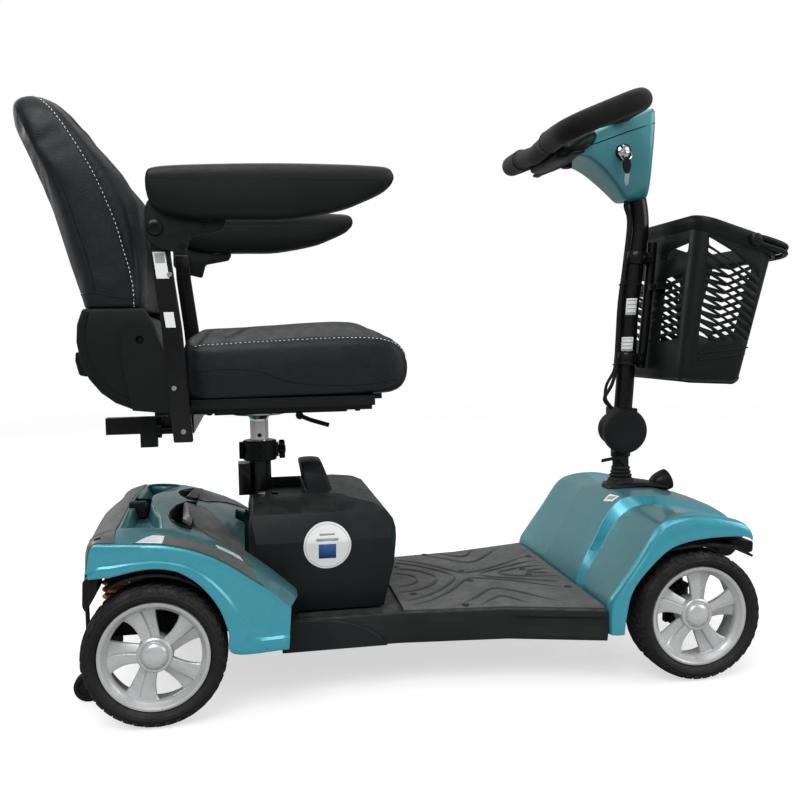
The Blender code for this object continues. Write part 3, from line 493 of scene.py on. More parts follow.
def tyre_mesh(bm):
    """Carcass with raised tread blocks in three staggered rows each side of the crown."""
    section = TYRE_SECTION + [(r, -w) for r, w in reversed(TYRE_SECTION[:-1])]
    add_lathe(bm, section, (0, 0, 0), (0, -1, 0), 96)
    add_lathe(bm, [(96.0, 37.0), (97.0, 38.6), (98.2, 38.4)], (0, 0, 0), (0, -1, 0), 72)
    step = 2 * math.pi / TREAD_COUNT
    rows = ((0.02, 0.30, 0.0, 0.60, 0.16), (0.36, 0.62, 0.5, 0.58, 0.10), (0.68, 0.98, 0.15, 0.50, -0.04))
    for k in range(TREAD_COUNT):
        for side in (-1, 1):
            for s0, s1, shift, width, skew in rows:
                middle = step * (k + shift + (0.5 if side > 0 else 0.0))
                corners = []
                for s, lean in ((s0, -1), (s1, 1)):
                    p, nrm = tyre_point(s)
                    for w in (-0.5, 0.5):
                        corners.append((p, nrm, middle + step * (w * width + lean * skew)))
                low, top = [], []
                for p, nrm, angle in corners:
                    for lift, shrink, target in ((-0.8, 1.0, low), (1.8, 0.90, top)):
                        q = p + nrm * lift
                        a = middle + (angle - middle) * shrink
                        target.append(bm.verts.new((q[0] * math.cos(a), side * q[1], q[0] * math.sin(a))))
                order = (0, 1, 3, 2)
                bm.faces.new([top[i] for i in order])
                for i in range(4):
                    a, b = order[i], order[(i + 1) % 4]
                    bm.faces.new((low[a], low[b], top[b], top[a]))
                bm.faces.new([low[i] for i in reversed(order)])


def rim_mesh(bm):
    """Five dished spokes, each with one edge rolled back, between a capped hub and a deep rim."""
    barrel = [(74.5, 12.0), (74.5, 17.0), (75.5, 20.5), (78.0, 23.5), (80.5, 27.0), (82.5, 30.2),
              (85.5, 31.6), (88.4, 31.2), (89.2, 29.0), (89.2, -30.0), (86.0, -31.5), (83.5, -30.0),
              (82.5, -22.0), (81.0, 0.0), (79.0, 8.0)]
    add_lathe(bm, barrel, (0, 0, 0), (0, -1, 0), 96, closed=True)
    hub = [(0.0, 29.6), (8.0, 29.3), (15.0, 28.0), (19.5, 25.6), (21.0, 23.4), (21.6, 21.0), (22.4, 20.6),
           (23.4, 21.6), (26.0, 22.2), (28.5, 20.5), (29.5, 16.0), (29.0, -12.0), (24.0, -26.0),
           (13.0, -26.0), (13.0, 8.0), (0.0, 8.0)]
    add_lathe(bm, hub, (0, 0, 0), (0, -1, 0), 48)
    radii = [24, 29, 36, 44, 52, 60, 67, 73, 78.5]
    half = [15.2, 15.4, 15.8, 16.8, 18.4, 20.6, 23.2, 26.5, 31.0]
    face = [19.5, 19.2, 18.0, 16.8, 16.0, 16.0, 16.8, 18.0, 19.5]
    across = [(-1.0, -12.5), (-0.93, -9.6), (-0.55, -7.0), (-0.20, -5.2), (-0.13, -3.4), (-0.09, -0.7),
              (-0.02, 0.0), (0.45, 0.2), (0.88, -0.3), (0.95, -1.2), (1.0, -3.6)]
    for k in range(SPOKES):
        theta = math.radians(102 + 72 * k)
        front = []
        for r, w, y in zip(radii, half, face):
            bend = theta + 0.0022 * (r - 24)
            row_f, row_b = [], []
            for u, drop in across:
                a = bend + u * w / r
                row_f.append((r * math.cos(a), -(y + drop), r * math.sin(a)))
                row_b.append((r * math.cos(bend + u * w * 0.86 / r),
                              -(y - 14.5 + abs(u) * 1.0),
                              r * math.sin(bend + u * w * 0.86 / r)))
            front.append(row_f + list(reversed(row_b)))
        add_grid(bm, front, close_u=True, caps=True)


def wheels():
    """One tyre mesh and one rim mesh, shared by the four wheels."""
    tyre_bm = bmesh.new()
    tyre_mesh(tyre_bm)
    rim_bm = bmesh.new()
    rim_mesh(rim_bm)
    for name, bm, mat, slot in (("tyre", tyre_bm, TYRE, "tyre"), ("rim", rim_bm, RIM, "silver_alloy")):
        for v in bm.verts:
            v.co *= 0.001
        bmesh.ops.recalc_face_normals(bm, faces=bm.faces)
        mesh = bpy.data.meshes.new(name)
        bm.to_mesh(mesh)
        bm.free()
        mesh.materials.append(mat)
        mesh.shade_smooth()
        mesh.set_sharp_from_angle(angle=math.radians(40 if name == "tyre" else 32))
        for end, x in (("rear", 0.0), ("front", WHEELBASE)):
            for label, side in SIDES:
                obj = bpy.data.objects.new(f"{end}_{label}_{name}_detail", mesh)
                bpy.context.scene.collection.objects.link(obj)
                spin = Matrix.Rotation(math.radians(0 if end == "rear" else 24), 4, "Y")
                flip = Matrix.Rotation(math.pi if side > 0 else 0.0, 4, "Z")
                obj.matrix_world = Matrix.Translation(place((x, side * WHEEL_Y, AXLE_Z))) @ flip @ spin
                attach(obj, f"{end}_wheel_{label}")
                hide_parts(f"{end}_{label}_{name}")


# ------------------------------------------------------------------ body shell

class Skin:
    """A surface through rows of points: smooth from row to row, straight between the columns of a row."""

    def __init__(self, rows):
        self.rows = [[Vector(p) for p in row] for row in rows]
        self.last_row = len(rows) - 1
        self.last_column = len(rows[0]) - 1

    def row_value(self, i, v):
        row = self.rows[max(0, min(self.last_row, i))]
        k = min(int(v), self.last_column - 1)
        return row[k].lerp(row[k + 1], v - k)

    def at(self, u, v):
        i = min(int(u), self.last_row - 1)
        t = u - i
        p1, p2 = self.row_value(i, v), self.row_value(i + 1, v)
        p0 = self.row_value(i - 1, v) if i else p1 * 2 - p2
        p3 = self.row_value(i + 2, v) if i + 2 <= self.last_row else p2 * 2 - p1
        return 0.5 * ((2 * p1) + (p2 - p0) * t + (2 * p0 - 5 * p1 + 4 * p2 - p3) * t * t
                      + (3 * p1 - p0 - 3 * p2 + p3) * t ** 3)

    def normal(self, u, v):
        e = 0.02
        du = self.at(min(u + e, self.last_row), v) - self.at(max(u - e, 0), v)
        dv = self.at(u, min(v + e, self.last_column)) - self.at(u, max(v - e, 0))
        n = dv.cross(du)
        return n.normalized() if n.length else Vector((0, 0, 1))

    def full_rows(self, per):
        """Rows over the whole width: the drawn half is the +Y side, and its mirror image comes first."""
        out = []
        for k in range(self.last_row * per + 1):
            half = [self.at(k / per, v) for v in range(self.last_column + 1)]
            out.append([Vector((p.x, -p.y, p.z)) for p in reversed(half[1:])] + half)
        return out

    def u_at_x(self, x, v):
        """The row value at which column v passes x."""
        lo, hi = 0.0, float(self.last_row)
        for _ in range(24):
            mid = (lo + hi) / 2
            if self.at(mid, v).x < x:
                lo = mid
            else:
                hi = mid
        return (lo + hi) / 2


def add_patch(bm, skin, x_range, v_range, lift, thick, side=0, steps=(14, 12), mat=0):
    """A thin panel that lies on a skin. x_range gives (low, high) for a share 0..1 across v_range.
    side 0 spans both halves (v_range then starts at -v), otherwise only one half is covered.
    lift is a height, or a function of the shares across and along."""
    height = lift if callable(lift) else lambda s, t: lift
    nu, nv = steps
    top, bottom = [], []
    for j in range(nv + 1):
        s = j / nv
        v = v_range[0] + (v_range[1] - v_range[0]) * s
        low, high = x_range(s)
        rows_t, rows_b = [], []
        flip = -1 if (side < 0 or (side == 0 and v < 0)) else 1
        for i in range(nu + 1):
            x = low + (high - low) * i / nu
            u = skin.u_at_x(x, abs(v))
            p, n = skin.at(u, abs(v)), skin.normal(u, abs(v))
            if n.z < 0 and n.y < 0:
                n = -n
            level = height(s, i / nu)
            p_t, p_b = p + n * level, p + n * (level - thick)
            rows_t.append(Vector((p_t.x, p_t.y * flip, p_t.z)))
            rows_b.append(Vector((p_b.x, p_b.y * flip, p_b.z)))
        top.append(rows_t)
        bottom.append(rows_b)
    loops = [t + list(reversed(b)) for t, b in zip(top, bottom)]
    add_grid(bm, loops, close_u=True, caps=True, mat=mat)


def inside(outline, x, y):
    hit = False
    for (x0, y0), (x1, y1) in zip(outline, outline[1:] + outline[:1]):
        if (y0 > y) != (y1 > y) and x < x0 + (x1 - x0) * (y - y0) / (y1 - y0):
            hit = not hit
    return hit


def punch(bm, outline, lowest):
    """Cuts an opening, drawn in plan, through a sheet above a height."""
    def faces_over(xs, ys):
        faces = []
        for f in bm.faces:
            fx, fy = [v.co.x for v in f.verts], [v.co.y for v in f.verts]
            if (min(fx) < max(xs) and max(fx) > min(xs) and min(fy) < max(ys) and max(fy) > min(ys)
                    and f.calc_center_median().z > lowest):
                faces.append(f)
        return faces
    for (x0, y0), (x1, y1) in zip(outline, outline[1:] + outline[:1]):
        faces = faces_over((min(x0, x1) - 0.2, max(x0, x1) + 0.2), (min(y0, y1) - 0.2, max(y0, y1) + 0.2))
        edges = {e for f in faces for e in f.edges}
        verts = {v for f in faces for v in f.verts}
        bmesh.ops.bisect_plane(bm, geom=[*verts, *edges, *faces], dist=0.01, plane_co=(x0, y0, 0),
                               plane_no=(y1 - y0, x0 - x1, 0))
    whole = faces_over([p[0] for p in outline], [p[1] for p in outline])
    gone = [f for f in whole if inside(outline, *f.calc_center_median().xy)]
    bmesh.ops.delete(bm, geom=gone, context="FACES")


def shell(name, skin, per, body, nodes, mats, pick, thick=3.0, openings=()):
    """A thin-walled moulding over the full width of a skin. pick(x, column) chooses each face's material."""
    bm = bmesh.new()
    rows = skin.full_rows(per)
    add_grid(bm, rows)
    half = (len(rows[0]) - 1) / 2
    bm.faces.ensure_lookup_table()
    columns = len(rows[0]) - 1
    for k, face in enumerate(bm.faces):
        j = k % columns
        face.material_index = pick(face.calc_center_median().x, int(abs(j + 0.5 - half)))
    for outline, lowest in openings:
        punch(bm, outline, lowest)
    bmesh.ops.recalc_face_normals(bm, faces=bm.faces)
    top = max(bm.faces, key=lambda f: f.calc_center_median().z)
    if top.normal.z < 0:
        bmesh.ops.reverse_faces(bm, faces=bm.faces)
    obj = finish_mesh(name, bm, mats, body, nodes, outward=False)
    solid = obj.modifiers.new("wall", "SOLIDIFY")
    solid.thickness = thick * 0.001
    solid.offset = -1.0
    solid.use_even_offset = False
    solid.use_quality_normals = True
    bake(obj)
    return obj


def bevel_piece(obj, width, steps=2, angle=30):
    mod = obj.modifiers.new("bevel", "BEVEL")
    mod.width = width * 0.001
    mod.segments = steps
    mod.limit_method = "ANGLE"
    mod.angle_limit = math.radians(angle)
    mod.use_clamp_overlap = True
    bake(obj)
    obj.data.shade_smooth()
    obj.data.set_sharp_from_angle(angle=math.radians(38))


def mix2(a, b, t):
    return (a[0] + (b[0] - a[0]) * t, a[1] + (b[1] - a[1]) * t)


FRONT_STATIONS = [
    # centre        hump edge      foot of hump   crest          lower edge
    ((772, 128), (772, 128), (776, 128), (767.5, 96), (792.5, 96)),
    ((773, 145), (773, 145), (780, 143), (768.5, 146), (796, 126)),
    ((788, 190), (786, 182), (796, 180), (788, 177), (805, 165)),
    ((812, 236), (812, 230), (822, 222), (824, 225), (826, 197)),
    ((838, 278), (836, 273), (848, 262), (860, 277), (870, 238)),
    ((870, 307), (870, 302), (884, 286), (893, 294), (905, 252)),
    ((935, 311), (935, 303), (938, 289), (945, 298), (945, 257.5)),
    ((985, 301), (985, 294), (985, 281), (990, 290), (985, 258.5)),
    ((1050, 280), (1046, 276), (1028, 268), (1022, 279), (1015, 257)),
    ((1092, 258), (1086, 254), (1055, 252), (1034, 262), (1029, 252)),
    ((1094, 240), (1088, 238), (1054, 240), (1035, 254), (1031, 248)),
]
REAR_STATIONS = [
    # centre        shoulder       crest          lower edge
    ((-116, 246), (-106, 248), (-97, 262), (-94, 250)),
    ((-110, 295), (-98, 300), (-88, 300), (-78, 251)),
    ((-65, 329), (-62, 318), (-60, 302), (-56, 253)),
    ((-20, 331), (-20, 321), (-20, 300), (-25, 259)),
    ((30, 324), (30, 314), (30, 295), (8, 261)),
    ((75, 312), (78, 299), (80, 280), (44, 253)),
    ((115, 300), (118, 281), (120, 259), (77, 229)),
    ((148, 285), (154, 258), (154, 235), (104, 192)),
    ((190, 250), (190, 230), (188, 211), (118, 152)),
    ((218, 220), (220, 205), (210, 191), (126, 115)),
    ((230, 210), (232, 193), (219, 184), (214, 116)),
]


def front_skin():
    rows = []
    for c, h, m, o, low in FRONT_STATIONS:
        def at(pair, y, lift=0.0):
            return (pair[0], y, pair[1] + lift)
        rows.append([at(c, 0), at(mix2(c, h, 0.2), 50), at(mix2(c, h, 0.8), 84), at(h, 91), at(h, 93, -0.4),
                     at(m, 108, 0.6), at(m, 110), at(mix2(m, o, 0.5), 185, -3),
                     at(mix2(m, o, 0.9), 238, -2.5), at(o, 246, -0.4), at(o, 250),
                     at(mix2(o, low, 0.03), 260), at(mix2(o, low, 0.14), 266.5),
                     at(mix2(o, low, 0.45), 269.6), at(mix2(o, low, 0.86), 270.2), at(low, 269.4)])
    return Skin(rows)


def rear_skin():
    rows = []
    for c, s, o, low in REAR_STATIONS:
        def at(pair, y, lift=0.0):
            return (pair[0], y, pair[1] + lift)
        rows.append([at(c, 0), at(mix2(c, s, 0.15), 70, -2.5), at(mix2(c, s, 0.45), 135, -5),
                     at(mix2(c, s, 0.85), 200, -4), at(s, 225, -2), at(mix2(s, o, 0.35), 243),
                     at(mix2(s, o, 0.88), 260), at(o, 264, 0.6), at(o, 267), at(mix2(o, low, 0.10), 268.6),
                     at(mix2(o, low, 0.50), 266.2), at(mix2(o, low, 0.66), 266.6),
                     at(mix2(o, low, 0.72), 269.6), at(mix2(o, low, 0.95), 270.2), at(low, 269.2)])
    return Skin(rows)


def front_body():
    """The front shroud as one sheet, the liners in its arches and the bumper under its nose."""
    skin = front_skin()

    def pick(x, column):
        # Material 1 is the painted-shade teal: the middle of the top and, behind the nose, the upper flanks; the nose
        # facets, the hump edges and the sides keep the lit teal.
        if column >= 10:
            return 0
        if column in (3, 4):
            return 0
        return 1 if x < 925 or column < 3 else 0

    obj = shell("front_shroud_moulding", skin, 6, "chassis", ("front_shroud",), [TEAL, TEAL_SHADED], pick)
    bevel_piece(obj, 0.9)
    liner = bmesh.new()
    for side in (-1, 1):
        rows = []
        for k in range(25):
            a = math.radians(180 - 130 * k / 24)
            x, z = WHEELBASE + 151 * math.cos(a), AXLE_Z + 133 * math.sin(a)
            if z > 236:
                z = 236 + (z - 236) * 0.4
            rows.append([(x, side * y, z) for y in (264, 200, 150,
                                                    148)] + [(x + (3 if x > WHEELBASE else -3), side * y,
                                                              z + 3)
                                                                           for y in (148, 200, 264)])
        add_grid(liner, rows, close_u=True, caps=True)
    finish_mesh("front_arch_liners", liner, LINER, "chassis")
    bumper = bmesh.new()
    outline = round_outline([(1030, 246), (1088, 238), (1082, 212), (1060, 190), (1040, 192), (1030, 214)], 9)
    add_prism(bumper, outline, -150, 150)
    for side in (-1, 1):
        add_prism(bumper, round_outline([(1000, 247), (1046, 243), (1045, 223), (1030, 223), (1006, 235)], 5),
                  *span(side, 150, 250))
    finish_mesh("nose_bumper", bumper, LINER, "chassis", bevel=2.5)


def rear_body():
    skin = rear_skin()
    rear_moulding(skin)
    rear_wells()
    rear_trim(skin)
    rear_lenses(skin)
    rear_liners()


def rear_moulding(skin):
    """The rear shroud as one sheet, open over the battery and over its three wells."""
    def pick(_, column):
        # Material 1 is the painted-shade teal, on the upper columns; the sides keep the lit teal.
        return 0 if column >= 7 else 1

    openings = [([(147, -188.5), (300, -188.5), (300, 188.5), (147, 188.5)], 0),
                ([(130, -45), (160, -45), (160, 45), (130, 45)], 0)]
    bowl = [(-50, 218), (-36, 224), (4, 222), (16, 212), (8, 150), (-10, 80), (-20, 20)]
    openings.append((round_outline(bowl + [(x, -y) for x, y in reversed(bowl)], 6, 2), 240))
    for side in (-1, 1):
        scoop = [(46, 18), (27, 50), (19, 100), (22, 140), (38, 172), (60, 188), (60, 24)]
        openings.append((round_outline([(x, side * y) for x, y in scoop], 6, 2), 240))
    obj = shell("rear_shroud_moulding", skin, 6, "chassis", ("rear_shroud",), [TEAL, TEAL_SHADED], pick,
                openings=openings)
    bevel_piece(obj, 0.9)


def rear_wells():
    """The bowl behind and the two scoops in front, below their openings in the shroud. The bowl takes the painted-shade
    teal and the scoops are painted near-black for the shade inside them.
    """
    well = bmesh.new()
    for side in (-1, 1):
        for mat, base, top in (
                (0, 296, ((-50, 16, 221), (-50, 12, 190), (-50, 6, 140), (-50, -8, 85), (-50, -18, 30),
                          (-50, -22, 0))),
                (1, 292, ((44, 60, 188), (27, 60, 160), (20, 60, 130), (20, 60, 90), (27, 60, 50),
                          (44, 60, 20)))):
            rows = []
            for low, high, y in top:
                fall = 14 * (y / 220) ** 2
                lip = 329 - fall - (6 if mat else 0)
                rows.append([(low - 1, side * y, lip), (low + 3, side * y, lip - 12),
                             (low + 9, side * y, base + 2 - fall * 0.3),
                             ((low + high) / 2, side * y, base - fall * 0.3),
                             (high - 9, side * y, base + 2 - fall * 0.3), (high - 3, side * y, lip - 14),
                             (high + 1, side * y, lip - 2)])
            add_grid(well, rows, mat=mat)
            for row in (rows[0], rows[-1]):
                well.faces.new([well.verts.new(p) for p in row]).material_index = mat
    obj = finish_mesh("rear_wells", well, [TEAL_SHADED, DARK_AND_HOLE_SHADE], "chassis", outward=False)
    thicken(obj, 1.5)
    bake(obj)
    socket = bmesh.new()
    add_box(socket, (-46, -26), (-46, 46), (298, 322))
    finish_mesh("rear_well_latch", socket, MATT, "chassis", bevel=4.0)


def rear_trim(skin):
    """Taupe inlays: one across the tail, a cowled pair beside the seat post and a strip along each fender."""
    panels = bmesh.new()

    def tail_range(s):
        y = abs(s - 0.5) * 2
        return -106 + 8 * y * y, -53 - 3 * math.sin(y * math.pi)

    add_patch(panels, skin, tail_range, (-6.1, 6.1), 1.4, 4.0, 0, (14, 60))

    for side in (-1, 1):
        def inlay_range(s):
            rear = 38 + 14 * min(s, 0.36) + 246 * max(0.0, min(s, 0.6) - 0.36) + 122 * max(0.0, s - 0.6)
            return rear, 77 + 67 * min(1.0, s / 0.5) + 14 * max(0.0, s - 0.5) / 0.5

        def swell(s, t):
            """The raised cowl on the inlay: steep at its rear, running out forwards and sideways."""
            across = max(0.0, math.sin(math.pi * min(1.0, (s + 0.02) / 0.52)))
            along = min(1.0, t / 0.10) * (1.0 - t) ** 1.3
            return 1.8 + 15.0 * across * along

        add_patch(panels, skin, inlay_range, (0.45, 4.9), swell, 5.0, side, (22, 34))
    for side in (-1, 1):
        def strip_range(s):
            return -26 + 34 * (1 - s) ** 2, 150 + 26 * s
        add_patch(panels, skin, strip_range, (5.05, 6.55), 1.5, 3.5, side, (30, 5))
    finish_mesh("rear_trim_panels", panels, TAUPE, "chassis", bevel=0.7)


def rear_lenses(skin):
    """Reflectors set in the side strips, and the narrow slots at the tail corners."""
    lenses = bmesh.new()
    for side in (-1, 1):
        add_patch(lenses, skin, lambda s: (-22 + 26 * (1 - s) ** 2, 22 - 4 * s), (5.2, 6.4), 2.4, 1.6, side,
                  (10, 4))
        add_patch(lenses, skin, lambda s: (100 + 5 * s, 138 + 6 * s), (4.45, 4.85), 1.6, 1.6, side, (8, 3))
    finish_mesh("rear_side_lenses", lenses, LAMP, "chassis", bevel=0.5)
    # The slots are thin near-black patches on the skin: painted shade for the inside of each slot.
    slots = bmesh.new()
    for side in (-1, 1):
        add_patch(slots, skin, lambda s: (-86, -76), (5.0, 5.35), 1.7, 0.8, side, (4, 3))
    finish_mesh("tail_slots", slots, DARK_AND_HOLE_SHADE, "chassis")


def rear_liners():
    """Inner arches over the rear wheels, with a flap behind each and a bar joining them."""
    guards = bmesh.new()
    for side in (-1, 1):
        rows = []
        for k in range(17):
            a = math.radians(122 - 118 * k / 16)
            x, z = 132 * math.cos(a), AXLE_Z + 131 * math.sin(a)
            rows.append([(x, side * y, min(z, 250)) for y in (262, 215, 170, 168)]
                        + [(x - 2, side * y, min(z, 250) + 3) for y in (168, 215, 262)])
        add_grid(guards, rows, close_u=True, caps=True)
        flap = round_outline([(-98, 250), (-80, 250), (-84, 226), (-101, 196), (-106, 206), (-104, 246)], 4)
        add_prism(guards, flap, *span(side, 205, 262))
    tail = round_outline([(-110, 250), (-96, 250), (-98, 212), (-106, 208), (-112, 222)], 4)
    add_prism(guards, tail, -205, 205)
    finish_mesh("rear_arch_liners", guards, LINER, "chassis", bevel=1.5)


def floor_half_width(x):
    table = [(234.5, 196), (408, 194), (600, 214), (690, 240), (766, 262)]
    for (x0, y0), (x1, y1) in zip(table, table[1:]):
        if x <= x1:
            return y0 + (y1 - y0) * max(0.0, (x - x0) / (x1 - x0))
    return table[-1][1]


def floor():
    floor_tray()
    deck_mat()
    deck_screws()


def floor_tray():
    """Deck with a rounded rim and a recessed skirt, and a raised arc on the skirt behind each side."""
    bm = bmesh.new()
    xs = [234.8 + (766 - 234.8) * k / 44 for k in range(45)]
    rows = []
    for x in xs:
        w = floor_half_width(x)
        recess = 5.0 * max(0.0, min(1.0, (x - 590) / 40)) * (1.0 if x < 757 else 0.0)
        section = [(w - 10, 137.2), (w - 5, 139.8), (w - 1.2, 138.2), (w, 134.5), (w, 127), (w - recess, 122),
                   (w - recess, 100), (w - 2, 92), (w - 4, 84), (w - 7, 83.2), (w - 8, 88), (w - 7, 133)]
        half = [(x, y, z) for y, z in section]
        inner = [(x, 0, 137.2), (x, 60, 137.2), (x, 120, 137.2), (x, w - 40, 137.2)]
        under = [(x, w - 40, 133), (x, 120, 133), (x, 60, 133), (x, 0, 133)]
        plus = inner + half + under
        minus = [(a, -b, c) for a, b, c in reversed(plus[1:-1])]
        rows.append(plus + minus)
    add_grid(bm, rows, close_u=True, caps=True)
    finish_mesh("floor_tray", bm, SKIRT, "chassis", ("floor_pan",), bevel=0.8)

    arcs = bmesh.new()
    outline = [(205, 84), (205, 139.2), (262, 138.5), (300, 134), (330, 126.5), (355, 115), (374, 101),
               (387, 85)]
    for side in (-1, 1):
        add_prism(arcs, outline, *span(side, 190, 199.5))
    finish_mesh("skirt_arcs", arcs, CHARCOAL, "chassis", bevel=1.6)


def deck_mat():
    """The mat, with ribs that spread from its middle like a leaf's veins."""
    mat = bmesh.new()
    rows = []
    for k in range(41):
        x = 418.5 + (764.5 - 418.5) * k / 40
        w = floor_half_width(x) - 12
        rows.append([(x, y, z) for y, z in ((-w, 140.2), (-w + 3, 142.6), (-w + 9, 143), (0, 143),
                                            (w - 9, 143), (w - 3, 142.6), (w, 140.2), (w, 136.5),
                                            (-w, 136.5))])
    add_grid(mat, rows, close_u=True, caps=True)
    # Ribs take material 1, the darker painted-shade rubber.
    for rib in deck_ribs():
        pts = smooth_path([(x, y, 142.4) for x, y in rib], 5)
        n = len(pts)
        radii = [4.6 * min(1.0, 0.25 + 3.0 * min(i, n - 1 - i) / n) for i in range(n)]
        add_tube(mat, pts, radii, 8, flat=0.62, up=(0, 0, 1), mat=1)
    finish_mesh("deck_mat", mat, [DECK, DECK_RIB_SHADED], "chassis", ("floor_mat",))


def deck_ribs():
    """Paths of the ribs, seen from above."""
    ribs = []
    for s in (-1, 1):
        ribs.append([(428, s * 172), (470, s * 150), (520, s * 100), (556, s * 46), (578, s * 22),
                     (612, s * 30), (660, s * 60), (705, s * 96), (752, s * 132)])
        ribs.append([(428, s * 142), (468, s * 122), (510, s * 80), (543, s * 30), (554, 0)])
        ribs.append([(600, 0), (618, s * 16), (660, s * 40), (710, s * 68), (752, s * 84)])
        ribs.append([(428, s * 84), (462, s * 78), (494, s * 52), (512, s * 20), (516, 0)])
        ribs.append([(428, s * 46), (452, s * 42), (472, s * 22), (478, 0)])
        ribs.append([(640, 0), (656, s * 14), (700, s * 34), (752, s * 42)])
        ribs.append([(700, 0), (716, s * 10), (752, s * 14)])
        ribs.append([(510, s * 190), (556, s * 150), (590, s * 108), (612, s * 100), (640, s * 124),
                     (672, s * 168), (700, s * 206)])
        ribs.append([(556, s * 194), (588, s * 160), (606, s * 150), (622, s * 166), (642, s * 204)])
    return ribs


def deck_screws():
    screws = bmesh.new()
    for x, y in ((530, 186), (745, 119), (576, 37), (452, 100), (700, 20)):
        for s in (-1, 1):
            add_lathe(screws, [(0.0, 142.4), (2.0, 142.4), (2.6, 143.4), (5.2, 143.9), (6.6, 143.6),
                               (7.2, 142.0)],
                      (x, s * y, 0), steps=20)
    finish_mesh("deck_screws", screws, BLACK, "chassis")


def battery():
    battery_case()
    battery_handle()
    battery_label()


def battery_case():
    """A block cut to its side and front outlines, chamfered at its corners, with a hollow under the handle."""
    side = [(163, 333), (205, 343), (262, 343), (320, 340), (372, 329), (392, 319), (404, 303), (410, 285),
            (411, 266), (405, 226), (398, 193), (388, 141.8), (160, 141.8), (153.8, 244), (153.8, 279)]
    front = BATTERY_SECTION + [(-y, z) for y, z in reversed(BATTERY_SECTION)]
    bm = bmesh.new()
    add_prism(bm, side, -200, 200)
    box = finish_mesh("battery_case", bm, [CHARCOAL, DARK_AND_HOLE_SHADE], "battery", ("battery_box",))
    shape = bmesh.new()
    add_prism(shape, front, 100, 500, "yz")
    cut_with(box, shape, "INTERSECT")
    corner = bmesh.new()
    for s in (-1, 1):
        add_prism(corner, [(388, s * 200), (430, s * 200), (430, s * 132)], 100, 400, "xy")
        add_prism(corner, [(150, s * 200), (174, s * 200), (150, s * 160)], 100, 400, "xy")
    cut_with(box, corner)
    notch = bmesh.new()
    add_box(notch, (130, 211), (-35, 35), (100, 420))
    cut_with(box, notch)
    tray = bmesh.new()
    add_prism(tray, round_outline([(196, -104), (258, -104), (258, 104), (196, 104)], 14), 322, 420, "xy")
    cut_with(box, tray)
    bevel_piece(box, 2.4, 3, 10)


def battery_handle():
    """A bent strap over the hollow, with the two screws behind it."""
    handle = bmesh.new()
    path = [(-68, 322), (-65, 345), (-60, 368), (-49, 383), (-31, 389), (0, 390), (31, 389), (49, 383),
            (60, 368), (65, 345), (68, 322)]
    rows = []
    for y, z in path:
        t = (z - 322) / 68
        x0, x1 = 262 - 12 * t, 316 - 22 * t
        inner_y = y * (1 - 13.0 / max(abs(y), 40)) if abs(y) > 20 else y
        inner_z = z - 11 if z > 370 else z
        mid = (x0 + x1) / 2
        rows.append([(x0, y, z), (x0 + 6, y * 1.03, z + 2.0), (mid, y * 1.04, z + 3.4),
                     (x1 - 6, y * 1.03, z + 1.6), (x1, y, z - 1), (x1 - 3, inner_y, inner_z),
                     (mid, inner_y * 0.99, inner_z - 1.5), (x0 + 3, inner_y, inner_z)])
    add_grid(handle, rows, close_u=True, caps=True)
    finish_mesh("battery_handle", handle, CHARCOAL, "battery", subdivide=2)
    bolts = bmesh.new()
    for s in (-1, 1):
        add_lathe(bolts, [(0.0, 3.0), (3.4, 3.0), (4.4, 2.2), (7.0, 1.8), (7.2, 0.0)], (180, s * 64, 338.5),
                  steps=18)
    finish_mesh("battery_bolts", bolts, ZINC, "battery")


def battery_label():
    """A round label that follows the case, with a plain square and bars on it."""
    sticker = bmesh.new()
    rows = []
    for r in (0.0, 10, 20, 30, 37.2, 38.0, 39.5, 40.6, 41.2):
        row = []
        for k in range(56):
            a = 2 * math.pi * k / 56
            z = 262 + r * math.sin(a)
            row.append((287 + r * math.cos(a), -(battery_side(z) + (0.15 if r > 41 else 0.9)), z))
        rows.append(row)
    add_grid(sticker, rows, close_u=True)
    sticker.faces.ensure_lookup_table()
    for k, face in enumerate(sticker.faces):
        face.material_index = 1 if k // 56 == 4 else 0
    bmesh.ops.remove_doubles(sticker, verts=sticker.verts, dist=0.01)
    for x0, x1, z0, z1, mat in ((272, 302, 240, 266, 2), (268, 306, 272, 276, 1), (274, 300, 281, 284, 1)):
        rows = [[(x, -(battery_side(z) + 1.2), z) for x in (x0, (x0 + x1) / 2, x1)]
                for z in (z0, (z0 + z1) / 2, z1)]
        add_grid(sticker, rows, mat=mat)
    obj = finish_mesh("battery_round_label", sticker, [LABEL, LABEL_GREY, LABEL_BLUE], "battery",
                      outward=False)
    thicken(obj, 0.4)
    bake(obj)


BATTERY_SECTION = [(152, 138), (168, 195), (186.5, 271), (170, 318), (154, 331), (128, 338), (80, 345)]


def battery_side(z):
    """Half width of the battery case at a height."""
    for (y0, z0), (y1, z1) in zip(BATTERY_SECTION, BATTERY_SECTION[1:]):
        if z <= z1:
            return y0 + (y1 - y0) * (z - z0) / (z1 - z0)
    return BATTERY_SECTION[-1][0]


# ------------------------------------------------------------------ soft parts

def world_grid(name, rows, mat, body):
    """A closed form from rings of points; the end rings are capped."""
    bm = bmesh.new()
    add_grid(bm, rows, close_u=True, caps=True)
    bmesh.ops.triangulate(bm, faces=[f for f in bm.faces if len(f.verts) > 4])
    obj = finish_mesh(name, bm, mat, body)
    return obj


def remesh(obj, voxel):
    mod = obj.modifiers.new("remesh", "REMESH")
    mod.mode = "VOXEL"
    mod.voxel_size = voxel * 0.001
    mod.use_smooth_shade = True
    bake(obj)


def seam_tree(paths):
    """Nearest-point lookup along seam paths given in millimetres."""
    points = [place(p) for path in paths for p in smooth_path(path, 24)]
    tree = KDTree(len(points))
    for i, p in enumerate(points):
        tree.insert(p, i)
    tree.balance()
    return tree


